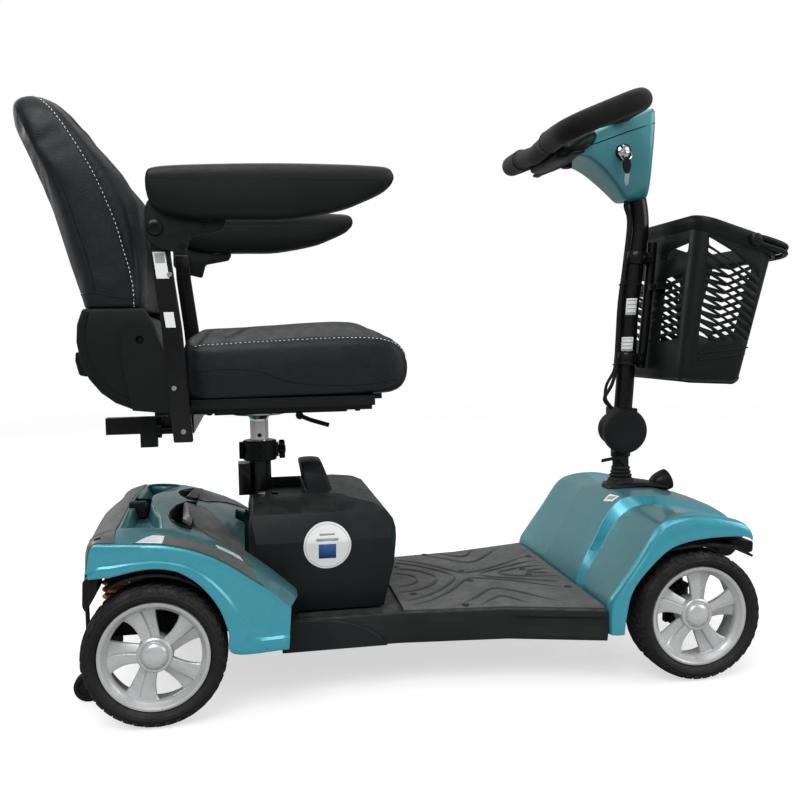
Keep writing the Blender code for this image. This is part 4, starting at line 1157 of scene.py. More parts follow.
def puff(obj, seams, pressure, limit, still=None):
    """Inflates a cushion with cloth: its seams and the part that rests on something stay where they are."""
    start = [v.co.copy() for v in obj.data.vertices]
    tree = seam_tree(seams) if seams else None
    group = obj.vertex_groups.new(name="held")
    for v in obj.data.vertices:
        held = 0.0
        if tree is not None:
            held = max(0.0, 1.0 - tree.find(v.co)[2] / 0.010)
        if still is not None and still(v.co):
            held = 1.0
        if held > 0.0:
            group.add([v.index], held, "REPLACE")
    parent, obj.parent = obj.parent, None
    mod = obj.modifiers.new("cloth", "CLOTH")
    settings = mod.settings
    settings.quality = 3
    settings.mass = 0.3
    settings.tension_stiffness = settings.compression_stiffness = 12
    settings.shear_stiffness = 5
    settings.bending_stiffness = 0.6
    settings.use_pressure = True
    settings.uniform_pressure_force = pressure
    settings.vertex_group_mass = "held"
    settings.effector_weights.gravity = 0.0
    mod.collision_settings.use_collision = False
    mod.point_cache.frame_start, mod.point_cache.frame_end = 1, 20
    scene = bpy.context.scene
    scene.frame_start, scene.frame_end = 1, 20
    for f in range(1, 21):
        scene.frame_set(f)
    bake(obj)
    scene.frame_set(1)
    obj.parent = parent
    for v, was in zip(obj.data.vertices, start):
        move = v.co - was
        if move.length > limit * 0.001:
            v.co = was + move * (limit * 0.001 / move.length)
    obj.vertex_groups.clear()


def relax(obj, times, factor=0.5):
    bm = bmesh.new()
    bm.from_mesh(obj.data)
    for _ in range(times):
        bmesh.ops.smooth_vert(bm, verts=bm.verts, factor=factor, use_axis_x=True, use_axis_y=True,
                              use_axis_z=True)
    bm.to_mesh(obj.data)
    bm.free()


def press_seams(obj, seams, depth, width):
    """Draws the skin in along its seams."""
    tree = seam_tree(seams)
    normals = [v.normal.copy() for v in obj.data.vertices]
    for v, n in zip(obj.data.vertices, normals):
        d = tree.find(v.co)[2] * 1000
        if d < width * 3:
            v.co -= n * depth * 0.001 * math.exp(-(d / width) ** 2)


def subdivide(obj, levels=1):
    mod = obj.modifiers.new("smooth", "SUBSURF")
    mod.levels = mod.render_levels = levels
    bake(obj)
    obj.data.shade_smooth()


def crease_folds(obj, where, depth, scale):
    """Shallow wrinkles where the cover is pulled."""
    for v in obj.data.vertices:
        share = where(v.co)
        if share > 0.0:
            v.co += v.normal * depth * 0.001 * share * noise.noise(Vector((v.co.x * scale,
                    v.co.y * scale * 0.35,
                                                                        v.co.z * scale)))


def stitches(name, target, paths, body, mat, length=4.4, gap=2.6, radius=0.62, lift=0.35):
    """Separate thread stitches that lie on the surface of target."""
    tree = BVHTree.FromObject(target, bpy.context.evaluated_depsgraph_get())
    bm = bmesh.new()
    for path in paths:
        dense = smooth_path(path, 60)
        travelled, run = 0.0, []
        for a, b in zip(dense, dense[1:]):
            travelled += (b - a).length
            if travelled < length:
                run.append(b)
            elif travelled > length + gap:
                if len(run) > 1:
                    ends = []
                    for p in (run[0], run[len(run) // 2], run[-1]):
                        hit, normal, _, _ = tree.find_nearest(place(p))
                        q = hit + normal * lift * 0.001
                        ends.append(Vector((q.x * 1000 - AXLE_X, q.y * 1000, q.z * 1000)))
                    ends[1] += Vector(normal) * 0.25
                    if (ends[2] - ends[0]).length > 1.0:
                        add_tube(bm, ends, [radius * 0.7, radius, radius * 0.7], 6)
                travelled, run = 0.0, []
    return finish_mesh(name, bm, mat, body)


def piping(name, target, path, body, mat, radius=1.6, lift=0.4):
    """A thin cord that follows a path on the surface of target."""
    tree = BVHTree.FromObject(target, bpy.context.evaluated_depsgraph_get())
    bm = bmesh.new()
    pts = []
    for p in smooth_path(path, 8):
        hit, normal, _, _ = tree.find_nearest(place(p))
        q = hit + normal * lift * 0.001
        pts.append(Vector((q.x * 1000 - AXLE_X, q.y * 1000, q.z * 1000)))
    add_tube(bm, pts, radius, 8)
    return finish_mesh(name, bm, mat, body)


BACK_ROWS = [
    # z,   rear,  side seam, bolster, centre, half width
    (671, -103, -12, -6, -10, 195),
    (704, -106, -12, -2, -14, 197),
    (740, -114, -18, 0, -20, 198),
    (775, -125, -27, 0, -27, 198),
    (807, -134, -35, -1, -34, 198),
    (846, -146, -49, -6, -44, 198),
    (888.4, -161.9, -66.5, -28.7, -58.7, 198),
    (920, -173.8, -83.3, -53, -75, 197),
    (948.3, -184.5, -99.9, -76.1, -93.1, 195),
    (972.2, -194.7, -115.3, -94.1, -108.1, 191),
    (991.8, -203.5, -129.4, -107.9, -119.9, 185),
    (1005.9, -204.8, -143.2, -120.5, -130.5, 176),
    (1014.6, -199.6, -155.7, -134.8, -142.8, 164),
    (1019, -190, -164, -149, -154, 150),
]


def back_ring(z, rear, seam, bolster, centre, w):
    half = [(rear, 0), (rear, w * 0.5), (rear + 3, w * 0.85), (rear + 9, w * 0.965), (rear + 22, w),
            ((rear + seam) / 2, w + 1), (seam - 14, w + 1), (seam, w - 1),
            (seam + (bolster - seam) * 0.55, w * 0.965), (seam + (bolster - seam) * 0.92, w * 0.88),
            (bolster, w * 0.76), (bolster - (bolster - centre) * 0.25, w * 0.62),
            (centre + (bolster - centre) * 0.18, w * 0.46), (centre, w * 0.28)]
    ring = [(x, y, z) for x, y in half] + [(centre, 0, z)]
    ring += [(x, -y, z) for x, y in reversed(half[1:])]
    return ring


def back_seams():
    """Front edge seam of each side panel, and the seam of the rear cover that crosses the panel."""
    front, rear = [], []
    for s in (-1, 1):
        front.append([(seam, s * (w - 0.5), z) for z, _, seam, _, _, w in BACK_ROWS])
        rear.append([(-190, s * 192, 962), (-156, s * 197, 918), (-122, s * 199, 868), (-101, s * 199.5, 800),
                     (-88, s * 199, 755), (-80, s * 198.5, 716), (-78, s * 198, 698)])
    return front, rear


def backrest():
    """The back cushion: lofted, puffed between its seams, then stitched and piped."""
    rings = []
    for a, b in zip(BACK_ROWS, BACK_ROWS[1:]):
        for k in range(3):
            rings.append(back_ring(*[p + (q - p) * k / 3 for p, q in zip(a, b)]))
    rings.append(back_ring(*BACK_ROWS[-1]))
    obj = world_grid("backrest_cover", rings, [LEATHER, LEATHER_SIDE], "backrest")
    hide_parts("backrest_cushion")
    remesh(obj, 6.0)
    relax(obj, 5)
    front, rear = back_seams()
    puff(obj, front + rear, 4.0, 9.0, lambda p: p.z < 0.677)
    relax(obj, 2)
    press_seams(obj, front, 2.4, 3.5)
    press_seams(obj, rear, 1.6, 3.0)
    subdivide(obj)
    crease_folds(obj, lambda p: max(0.0, 1.0 - abs(p.z - 0.72) / 0.06), 1.6, 30.0)
    paint_sides(obj, 0.186)
    stitches("backrest_stitching", obj, [[(x - 5.0, y * 1.01, z) for x, y, z in p] for p in front],
             "backrest", THREAD)
    for k, path in enumerate(rear):
        piping(f"backrest_rear_seam_{k}", obj, path, "backrest", DARK_THREAD, 1.1, 0.0)
    hem = []
    for s in (-1, 1):
        hem.append([(-108, s * 150, 697), (-104, s * 194, 697), (-80, s * 200, 698), (-40, s * 200, 690),
                    (-12, s * 197, 688)])
    for k, path in enumerate(hem):
        piping(f"backrest_hem_{k}", obj, path, "backrest", DARK_THREAD, 1.3, 0.2)


def paint_sides(obj, reach):
    """The side panels are cut from a slightly bluer hide."""
    for poly in obj.data.polygons:
        c, n = poly.center, poly.normal
        poly.material_index = 1 if abs(c.y) > reach and abs(n.y) > 0.6 else 0


CUSHION_ROWS = [
    # x, bottom, seam, edge, centre, half width
    (56, 523, 604, 622, 622, 196),
    (66, 518, 607, 628, 628, 205),
    (90, 517, 609, 631, 629, 209),
    (140, 518, 611, 634, 629, 210),
    (200, 519, 613, 637, 629, 210),
    (260, 520, 615, 640, 632, 210),
    (314, 521, 616, 641, 636, 210),
    (350, 522, 616, 640, 639, 210),
    (381, 523, 614, 636, 637, 209),
    (405, 525, 609, 627, 630, 206),
    (421, 532, 599, 613, 617, 201),
    (430, 545, 585, 596, 600, 194),
    (433, 556, 574, 580, 583, 186),
]


def cushion_ring(x, bottom, seam, edge, centre, w):
    half = [(0, bottom), (w * 0.5, bottom), (w * 0.9, bottom), (w * 0.975, bottom + 4), (w, bottom + 14),
            (w + 1, (bottom + seam) / 2), (w, seam - 12), (w - 1.5, seam),
            (w - 9, seam + (edge - seam) * 0.62), (w - 24, edge - 2.0), (w - 48, edge),
            (w - 84, edge - (edge - centre) * 0.45), (w * 0.34, centre)]
    ring = [(x, y, z) for y, z in half] + [(x, 0, centre)]
    return ring + [(x, -y, z) for y, z in reversed(half[1:])]


def seat_cushion():
    """The seat cushion: lofted, puffed above its seam, then stitched and piped."""
    rings = []
    for a, b in zip(CUSHION_ROWS, CUSHION_ROWS[1:]):
        for k in range(3):
            rings.append(cushion_ring(*[p + (q - p) * k / 3 for p, q in zip(a, b)]))
    rings.append(cushion_ring(*CUSHION_ROWS[-1]))
    obj = world_grid("seat_cushion_cover", rings, [LEATHER, LEATHER_SIDE], "seat")
    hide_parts("seat_cushion")
    remesh(obj, 5.0)
    relax(obj, 5)
    loop = [(x, w - 0.8, seam) for x, _, seam, _, _, w in CUSHION_ROWS[1:-1]]
    front = [(433.5, y, 588) for y in (150, 75, 0, -75, -150)]
    seam = loop + front + [(x, -y, z) for x, y, z in reversed(loop)]
    puff(obj, [seam], 4.0, 8.0, lambda p: p.z < 0.5275)
    relax(obj, 2)
    press_seams(obj, [seam], 2.4, 3.5)
    subdivide(obj)
    for v in obj.data.vertices:
        v.co.z = max(v.co.z, 0.5222)
        v.co.y = max(-0.2165, min(0.2165, v.co.y))
    paint_sides(obj, 0.190)
    stitches("seat_cushion_stitching", obj, [[(x + (3 if abs(y) < 190 else 0), y, z + 5.0) for x, y,
                                              z in seam]],
             "seat", THREAD)
    lower = []
    for s in (-1, 1):
        lower.append([(70, s * 212, 566), (120, s * 213, 572), (180, s * 213.5, 566), (230, s * 213.5, 548),
                      (300, s * 213, 540), (360, s * 212, 541), (412, s * 208, 548)])
    for k, path in enumerate(lower):
        piping(f"seat_side_seam_{k}", obj, path, "seat", DARK_THREAD, 1.1, 0.0)


# ------------------------------------------------------------------ seat hardware

def refine(node, body, mat, width=1.2, name=None):
    """A CAD piece with its edges broken, shown instead of the CAD node."""
    source = frame["nodes"][node]
    mesh = source.data.copy()
    obj = bpy.data.objects.new(name or node + "_finished", mesh)
    bpy.context.scene.collection.objects.link(obj)
    bm = bmesh.new()
    bm.from_mesh(mesh)
    bmesh.ops.remove_doubles(bm, verts=bm.verts, dist=0.00002)
    bmesh.ops.dissolve_limit(bm, angle_limit=math.radians(2), verts=bm.verts, edges=bm.edges)
    bm.to_mesh(mesh)
    bm.free()
    mesh.materials.clear()
    mesh.materials.append(mat)
    mod = obj.modifiers.new("bevel", "BEVEL")
    mod.width = width * 0.001
    mod.segments = 2
    mod.limit_method = "ANGLE"
    mod.angle_limit = math.radians(35)
    mesh.shade_smooth()
    mesh.set_sharp_from_angle(angle=math.radians(45))
    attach(obj, body)
    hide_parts(node)
    return obj


def add_bolt(bm, centre, axis, radius=6.0, height=3.5, mat=0):
    """A domed head with a hexagon socket."""
    r = radius
    add_lathe(bm, [(r * 0.45, height * 0.35), (r * 0.48, height * 0.98), (r * 0.75, height),
                   (r * 0.95, height * 0.6), (r, 0.0)], centre, axis, 20, mat=mat)
    add_lathe(bm, [(0.0, height * 0.35), (r * 0.45, height * 0.35)], centre, axis, 6, mat=mat)


def hinge_covers():
    """The quarter-round mouldings at the foot of the back, with the lower back panel between them."""
    outline = [(-98, 673), (-107, 648), (-109, 620), (-104, 588), (-92, 560), (-74, 537), (-52, 520),
               (-26, 509), (2, 506), (14, 520), (27, 541), (29, 575), (25, 610), (12, 648), (-3, 673)]
    rim = [(-94, 669), (-101.5, 646), (-103, 620), (-98.5, 591), (-87, 565), (-70, 543), (-49, 527),
           (-24, 516.5), (2, 513.5), (-1, 521), (-22, 524), (-45, 534), (-64, 549), (-80, 570),
           (-90.5, 594), (-95, 620), (-93.5, 645), (-87, 667)]
    bm = bmesh.new()
    for s in (-1, 1):
        add_prism(bm, outline, *span(s, 176, 201.5))
    obj = finish_mesh("hinge_covers", bm, MATT, "backrest", ("backrest_shell",))
    bevel_piece(obj, 5.0, 4, 40)
    ridge = bmesh.new()
    for s in (-1, 1):
        add_prism(ridge, rim, *span(s, 200.5, 203.4))
        add_lathe(ridge, [(0.0, 5.0), (9.0, 5.0), (10.0, 4.0), (14.0, 3.4), (15.0, 2.0), (15.2, 0.0)],
                  (-9, s * 200.5, 622), (0, s, 0), 32)
        add_prism(ridge, round_outline([(-97, 600), (-113, 604), (-114.5, 590), (-109, 566), (-96, 563)], 3),
                  *span(s, 158, 184))
    finish_mesh("hinge_cover_rims", ridge, BLACK, "backrest", bevel=1.2)
    bolts = bmesh.new()
    for s in (-1, 1):
        add_bolt(bolts, (-9, s * 205.2, 622), (0, s, 0), 5.0, 2.4)
    finish_mesh("hinge_cover_bolts", bolts, STEEL, "backrest")
    panel = bmesh.new()
    rows = []
    for y in (-178, -174, -150, -60, 0, 60, 150, 174, 178):
        k = abs(y) / 178
        bulge = 6 * (1 - k ** 4)
        rows.append([(x - bulge * nx, y, z - bulge * nz) for x, z, nx, nz in
                     ((-96, 672, 1, 0), (-101, 646, 1, 0), (-102, 620, 1, 0), (-97, 590, 0.9, 0.2),
                      (-86, 563, 0.8, 0.5), (-68, 541, 0.6, 0.7), (-46, 526, 0.4, 0.8),
                      (-20, 515, 0.2, 0.9), (4, 512, 0, 0.6), (20, 540, 0, 0), (20, 600, -0.3, 0),
                      (4, 640, -0.5, 0), (-8, 672, 0, 0))])
    add_grid(panel, rows, close_u=True, caps=True)
    finish_mesh("lower_back_panel", panel, LEATHER, "backrest", subdivide=1)


def armrests():
    for label, s in SIDES:
        armrest_pad(label, s)
        armrest_bracket(label, s)
        armrest_pivot(label, s)
        armrest_upright(label, s)
        armrest_labels(label, s)


def armrest_pad(label, s):
    """The pad, in two halves that meet at a seam line."""
    bm = bmesh.new()
    table = [(16.5, 846, 868, 22), (19, 835, 876, 26), (26, 824, 880.5, 28), (50, 812, 884, 28.8),
             (97, 805, 886.5, 29), (170, 804.5, 889, 29), (232, 806, 890, 29), (309, 820, 889.5, 29),
             (350, 835, 888.5, 28.6), (378, 848, 887, 27.5), (390, 857, 884, 25), (395.5, 864, 878, 21)]
    rows = []
    stations = smooth_path([(x, lo, hi) for x, lo, hi, _ in table], 4)
    widths = smooth_path([(x, w, 0) for x, _, _, w in table], 4)
    for st, wd in zip(stations, widths):
        x, lo, hi, w = st.x, st.y, st.z, wd.y
        split = min(hi - 9, max(lo + 6, 862.5 + 0.008 * x))
        top = [(-w, split + 1.5), (-w, hi - 9), (-w + 2.5, hi - 3.4), (-w + 8, hi - 0.8), (-w * 0.4, hi),
               (0, hi + 0.3)]
        low = [(-w + 0.9, split), (-w + 0.6, split - 2), (-w + 1.2, lo + (split - lo) * 0.55),
               (-w + 4, lo + 8), (-w + 11, lo + 1.5), (-w * 0.3, lo), (0, lo)]
        if hi - lo < 30:
            low = [(-w + 0.9, split), (-w + 0.8, split - 1.5), (-w + 2, lo + (split - lo) * 0.5),
                   (-w + 5, lo + 3), (-w + 12, lo + 0.8), (-w * 0.3, lo), (0, lo)]
        left = list(reversed(top)) + low
        ring = left + [(-y, z) for y, z in reversed(left[1:-1])]
        rows.append([(x, s * 272 + y, z) for y, z in ring])
    add_grid(bm, rows, close_u=True, caps=True)
    bm.normal_update()
    for f in bm.faces:
        c = f.calc_center_median()
        f.material_index = 0 if c.z > 862.5 + 0.008 * c.x + 0.6 else 1
    finish_mesh(f"armrest_pad_{label}_cover", bm, [PAD, MATT], f"armrest_{label}",
                (f"armrest_pad_{label}",), angle=50)


def armrest_bracket(label, s):
    """The plate that carries the pad."""
    br = bmesh.new()
    plate = round_outline([(12, 776), (30, 762), (71, 752), (79, 780), (128, 789), (135, 803.6), (96, 803.6),
                           (18, 836), (12, 822)], 5)
    add_prism(br, plate, *span(s, 262.8, 274.5))
    obj = finish_mesh(f"armrest_bracket_{label}_finished", br, MATT, f"armrest_{label}",
                      (f"armrest_bracket_{label}",))
    bevel_piece(obj, 1.6, 3)


def armrest_pivot(label, s):
    """The crossed pivot cap and the screws on the bracket."""
    knob = bmesh.new()
    add_lathe(knob, [(0.0, 3.0), (4.0, 3.0), (5.0, 4.6), (9.0, 4.6), (11.5, 3.4), (12.6, 1.0), (12.8, -0.6)],
              (27, s * 274.6, 793), (0, s, 0), 28)
    for turn in (0, 90):
        a = math.radians(turn + 45)
        add_prism(knob, [(27 + 3.6 * math.cos(a) - 0.9 * math.sin(a),
                          793 + 3.6 * math.sin(a) + 0.9 * math.cos(a)),
                         (27 + 3.6 * math.cos(a) + 0.9 * math.sin(a),
                          793 + 3.6 * math.sin(a) - 0.9 * math.cos(a)),
                         (27 - 3.6 * math.cos(a) + 0.9 * math.sin(a),
                          793 - 3.6 * math.sin(a) - 0.9 * math.cos(a)),
                         (27 - 3.6 * math.cos(a) - 0.9 * math.sin(a),
                          793 - 3.6 * math.sin(a) + 0.9 * math.cos(a))],
                  *span(s, 276.5, 278.4))
    add_bolt(knob, (66, s * 274.6, 765), (0, s, 0), 4.2, 2.4)
    add_bolt(knob, (100, s * 274.6, 795), (0, s, 0), 3.2, 1.8)
    finish_mesh(f"armrest_pivot_{label}", knob, STEEL, f"armrest_{label}")


def armrest_upright(label, s):
    """The flat upright on its square tube, with three bolts."""
    up = bmesh.new()
    outline = round_outline([(42.5, 459), (72.5, 459), (61, 640), (48, 748), (45, 799.5), (16.5, 799.5),
                             (18, 748), (30, 640)], 3)
    add_prism(up, outline, *span(s, 250.2, 261.8))
    add_box(up, (43, 67), span(s, 62, 255), (470, 493.7))
    obj = finish_mesh(f"armrest_upright_{label}_finished", up, STEEL, f"armrest_slide_{label}",
                      (f"armrest_upright_{label}",))
    bevel_piece(obj, 1.8, 3)
    small = bmesh.new()
    for x, z in ((45, 722), (46, 545), (58, 476)):
        add_bolt(small, (x, s * 261.9, z), (0, s, 0), 4.2, 2.2)
    finish_mesh(f"armrest_upright_{label}_bolts", small, ZINC, f"armrest_slide_{label}")


def armrest_labels(label, s):
    """Two plain stickers on the upright; the larger one has a grey block."""
    labels = bmesh.new()
    for x0, x1, z0, z1, lean in ((20.5, 39.5, 716, 757, 5), (34, 49, 640, 664, 3)):
        for inset, level, m in ((0.0, 262.25, 0), (2.2, 262.4, 1)):
            zs = [z0 + inset + (z1 - z0 - 2 * inset) * k / 3 for k in range(4)]
            if m:
                zs = [z0 + (z1 - z0) * 0.58, z1 - 2.5]
                if x0 > 30:
                    continue
            rows = [[(x + lean * (1 - (z - z0) / (z1 - z0)), s * level, z) for x in (x0 + inset, x1 - inset)]
                    for z in zs]
            back = [[(x, s * 261.9, z) for x, _, z in row] for row in rows]
            loops = [r + list(reversed(b)) for r, b in zip(rows, back)]
            add_grid(labels, loops, close_u=True, caps=True, mat=m)
    finish_mesh(f"armrest_upright_{label}_labels", labels, [LABEL, LABEL_GREY], f"armrest_slide_{label}")


def seat_base():
    """The kept seat hardware with broken edges, then the post, the rails and the post clamp."""
    for node, body, mat, width in (("armrest_receiver", "seat", STEEL, 1.2),
                                   ("swivel_plate", "seat", CHASSIS, 1.5), ("seat_pan", "seat", MATT, 1.2),
                                   ("swivel_lever", "seat_latch", BLACK, 0.8),
                                   ("post_knob", "post_clamp", BLACK, 2.0),
                                   ("width_knob_right", "width_clamp_right", MATT, 3.2),
                                   ("width_knob_left", "width_clamp_left", MATT, 3.2),
                                   ("seat_post_socket", "chassis", STEEL, 1.6)):
        refine(node, body, mat, width)
    post = bmesh.new()
    profile = [(0.0, 485.3), (49, 485.3), (50, 484.3), (50, 480), (49, 479), (22, 479), (20, 474),
               (17.4, 471), (17.0, 468)]
    profile += [(17.0, 466 - 6 * k) for k in range(28)] + [(17.0, 291.5), (15.6, 290), (14.5, 290),
                                                           (14.5, 470), (0.0, 470)]
    add_lathe(post, profile, (179, 0, 0), steps=48)
    finish_mesh("seat_post_tube", post, CHROME, "post", ("seat_post",))
    # The adjusting holes are near-black discs on the tube: painted shade for the inside of each hole.
    holes = bmesh.new()
    for z in (440, 415, 390, 365, 340):
        for s in (-1, 1):
            add_lathe(holes, [(0.0, 17.15), (3.6, 17.15), (4.3, 16.4)], (179, 0, z), (0, s, 0), 18)
    finish_mesh("seat_post_holes", holes, DARK_AND_HOLE_SHADE, "post")
    seat_rails()
    post_clamp()


def seat_rails():
    under = bmesh.new()
    for s in (-1, 1):
        rail = [(72, s * 196), (368, s * 196), (368, s * 176), (72, s * 176)]
        add_prism(under, rail if s > 0 else list(reversed(rail)), 497.5, 506.5, "xy")
        for x in (96, 344):
            add_bolt(under, (x, s * 186, 497.4), (0, 0, -1), 5, 3)
    add_box(under, (345, 392), (-150, 150), (512, 521.5))
    finish_mesh("seat_rails", under, CHASSIS, "seat", bevel=1.2)


def post_clamp():
    """The split collar on the post and its star knob."""
    collar = bmesh.new()
    add_lathe(collar, [(30.0, 392.4), (31.5, 394), (31.5, 428), (30.0, 429.6), (29.1, 429.6),
                       (29.1, 392.4)], (179, 0, 0), steps=40, closed=True)
    for z in (401, 420):
        add_bolt(collar, (179, -31.2, z), (0, -1, 0), 4.2, 3)
    add_lathe(collar, [(0.0, 14.0), (6.0, 14.0), (7.5, 12.0), (8.0, 0.0)], (213.5, 0, 411), (1, 0, 0), 16)
    finish_mesh("post_clamp_collar", collar, BLACK, "chassis")
    star = bmesh.new()
    outline = []
    for k in range(60):
        a = 2 * math.pi * k / 60
        r = 16.5 + 2.4 * math.cos(6 * a)
        outline.append((r * math.cos(a), 411 + r * math.sin(a)))
    add_prism(star, outline, 215, 226, "yz")
    finish_mesh("front_clamp_knob", star, BLACK, "chassis", bevel=2.2)


# ------------------------------------------------------------------ tiller

TUBE_PATH = [(908, 462), (912.5, 518), (918, 600), (923, 678), (929, 722), (934, 758), (940, 795),
             (943.5, 828), (942, 860), (936.5, 893)]
LOOP_FRONT, LOOP_REAR, LOOP_SLOPE, LOOP_TOP = 872.0, 726.0, 0.41, 1037.0


def tube_x(z):
    for (x0, z0), (x1, z1) in zip(TUBE_PATH, TUBE_PATH[1:]):
        if z <= z1:
            return x0 + (x1 - x0) * max(0.0, (z - z0) / (z1 - z0))
    return TUBE_PATH[-1][0]


def bar_z(x):
    return LOOP_TOP + LOOP_SLOPE * (x - LOOP_FRONT)


def tiller_column():
    tiller_tube()
    tiller_cables()
    tiller_labels()
    column_boot()


def tiller_tube():
    """The bent tube, its foot clamp and the round caps over the tilt pivot."""
    bm = bmesh.new()
    path = smooth_path([(x, 0, z) for x, z in TUBE_PATH], 5)
    add_tube(bm, path, TUBE_R, 32)
    add_tube(bm, [(904, 0, 448), (908, 0, 466)], 21, 28)
    add_box(bm, (885, 925), (-33, 33), (447, 469))
    finish_mesh("tiller_tube_finished", bm, STEEL, "tiller", ("tiller_tube",), bevel=1.5)
    discs = bmesh.new()
    for s, r in ((-1, 45.0), (1, 34.0)):
        add_lathe(discs, [(0.0, 34.4), (r - 15, 34.4), (r - 3.5, 34.0), (r - 1, 32.6), (r, 30.0), (r, 17.0),
                          (r - 2, 14.0), (16.0, 12.8), (0.0, 12.8)], (901, 0, 424), (0, s, 0), 72)
    finish_mesh("tilt_pivot_discs", discs, MATT, "tiller")


def tiller_cables():
    """Two cables behind the tube that hang in a loop above its foot, and their ties."""
    straps = bmesh.new()
    for z in (556, 716):
        x = tube_x(z)
        add_lathe(straps, [(18.2, -1.6), (19.2, -1.3), (19.2, 1.3), (18.2, 1.6)], (x, 0, z), (0.10, 0, 1), 32)
        add_box(straps, (x - 26, x - 17), (-8.5, 7), (z - 1.6, z + 1.6))
    finish_mesh("cable_ties", straps, MATT, "tiller")
    cables = bmesh.new()
    for y, r in ((-5.0, 3.6), (4.0, 3.0)):
        back = TUBE_R + 0.5 + r
        pts = [(925, y, 892), (914, y, 874), (tube_x(840) - back, y, 840), (tube_x(758) - back, y, 758),
               (tube_x(678) - back, y, 678), (tube_x(600) - back, y, 600), (tube_x(548) - back - 1, y, 548),
               (878 - y * 0.6, y * 1.4, 515), (870 + y, y * 1.8, 488), (884 + y * 0.6, y * 1.2, 468)]
        add_tube(cables, smooth_path(pts, 6), r, 10)
    finish_mesh("tiller_cables", cables, MATT, "tiller", ("tiller_cable",))


def wrapped(z, lift, angles):
    """Points round the tube at a height, at angles in degrees."""
    x, r = tube_x(z), TUBE_R + lift
    return [(x + r * math.cos(math.radians(a)), r * math.sin(math.radians(a)), z) for a in angles]


def tiller_labels():
    """Two plain stickers wrapped round the tube, each with four grey bars."""
    labels = bmesh.new()
    for z0, z1, a0, a1 in ((583, 611, 205, 283), (655, 688, 222, 292)):
        angles = [a0 + (a1 - a0) * j / 10 for j in range(11)]
        add_grid(labels, [wrapped(z0 + (z1 - z0) * k / 4, 0.35, angles) for k in range(5)])
        angles = [a0 + 10 + (a1 - a0 - 20) * k / 6 for k in range(7)]
        for k in (1, 3, 5, 7):
            bar = z0 + (z1 - z0) * k / 8
            add_grid(labels, [wrapped(bar + half, 0.5, angles) for half in (-0.9, 0.9)], mat=1)
    obj = finish_mesh("tiller_labels", labels, [LABEL, LABEL_GREY], "tiller",
                      outward=False)
    thicken(obj, 0.2)


def column_boot():
    """The ribbed boot, the tilt yoke and the kept column parts."""
    boot = bmesh.new()
    profile = [(0.0, 352.0), (14.0, 352.0), (17.5, 350.0), (19.0, 346.0), (17.6, 342.5), (21.0, 339.0),
               (19.2, 335.5), (23.0, 332.0), (21.0, 328.0), (25.5, 324.0), (26.5, 318.5), (30.0, 315.0),
               (31.0, 309.0), (0.0, 309.0)]
    add_lathe(boot, profile, (903, 0, 0), steps=48)
    add_lathe(boot, [(16.2, 352.0), (16.2, 368.0), (19.5, 371.0), (19.5, 378.0), (16.0, 381.0),
                     (0.0, 381.0)], (903, 0, 0), steps=40)
    finish_mesh("column_boot", boot, MATT, "column")
    yoke = bmesh.new()
    add_box(yoke, (886, 916), (-11.5, 11.5), (378, 424))
    add_tube(yoke, [(901, -12.2, 424), (901, 12.2, 424)], 14, 28)
    finish_mesh("tilt_yoke", yoke, STEEL, "column", bevel=1.5)
    refine("steering_column", "column", CHASSIS, 0.8)
    refine("tilt_lever", "tilt_lock", STEEL, 0.6)


def head_ring(z, x0, x1, w, r):
    """Rounded rectangle at a height, for the tiller head."""
    ring = []
    for cx, cy, a0 in ((x1 - r, w - r, 0), (x0 + r, w - r, 90), (x0 + r, -w + r, 180), (x1 - r, -w + r, 270)):
        for k in range(5):
            a = math.radians(a0 + 90 * k / 4)
            ring.append((cx + r * math.cos(a), cy + r * math.sin(a), z))
    return ring


def tiller_head():
    """The teal cowl: rounded rectangles that widen upwards and tip with the handlebar."""
    bm = bmesh.new()
    rows = []
    for z, x0, x1, w, r, tilt in ((876, 902, 946, 27, 12, 0.10), (880, 897, 950, 31, 14, 0.10),
                                  (893, 888, 951, 37, 15, 0.06), (912, 871, 951, 43, 15, 0.0),
                                  (934, 848, 951, 49, 15, 0.0), (954, 822, 951, 53, 15, 0.04),
                                  (966, 804, 951, 56, 14, 0.12), (978, 784, 951, 58, 12, 0.22),
                                  (994, 772, 951, 60, 11, 0.32), (1022, 768, 951, 60, 11, 0.39),
                                  (1030, 773, 949, 57, 10, 0.40)):
        rows.append([(x, y, zz + (x - 880) * tilt) for x, y, zz in head_ring(z, x0, x1, w, r)])
    add_grid(bm, rows, close_u=True, caps=True)
    # The cowl takes the darker painted-shade copy of the teal.
    finish_mesh("tiller_head_cover", bm, TEAL_SHADED, "tiller", ("tiller_head",), subdivide=1)
    seam = bmesh.new()
    for s in (-1, 1):
        pts = [(790, s * 60.2, 968), (840, s * 60.0, 985), (890, s * 60.0, 1003), (948, s * 58, 1022)]
        add_tube(seam, smooth_path(pts, 6), 1.0, 6)
    finish_mesh("tiller_head_seam", seam, DARK_AND_HOLE_SHADE, "tiller")


CONSOLE_SLOPE = math.atan(LOOP_SLOPE)
CONSOLE_NORMAL = Vector((-math.sin(CONSOLE_SLOPE), 0, math.cos(CONSOLE_SLOPE)))
CONSOLE_ALONG = Vector((math.cos(CONSOLE_SLOPE), 0, math.sin(CONSOLE_SLOPE)))
CONSOLE_SINK = 15.0
CORNERS = [(-1, -1), (1, -1), (1, 1), (-1, 1)]


def console_spot(x, y, lift):
    """A point on the console's face, lifted along its normal."""
    return Vector((x, y, bar_z(x) - CONSOLE_SINK + 5.2)) + CONSOLE_NORMAL * lift


def console():
    console_shell()
    battery_gauge()
    speed_dial()
    console_buttons()


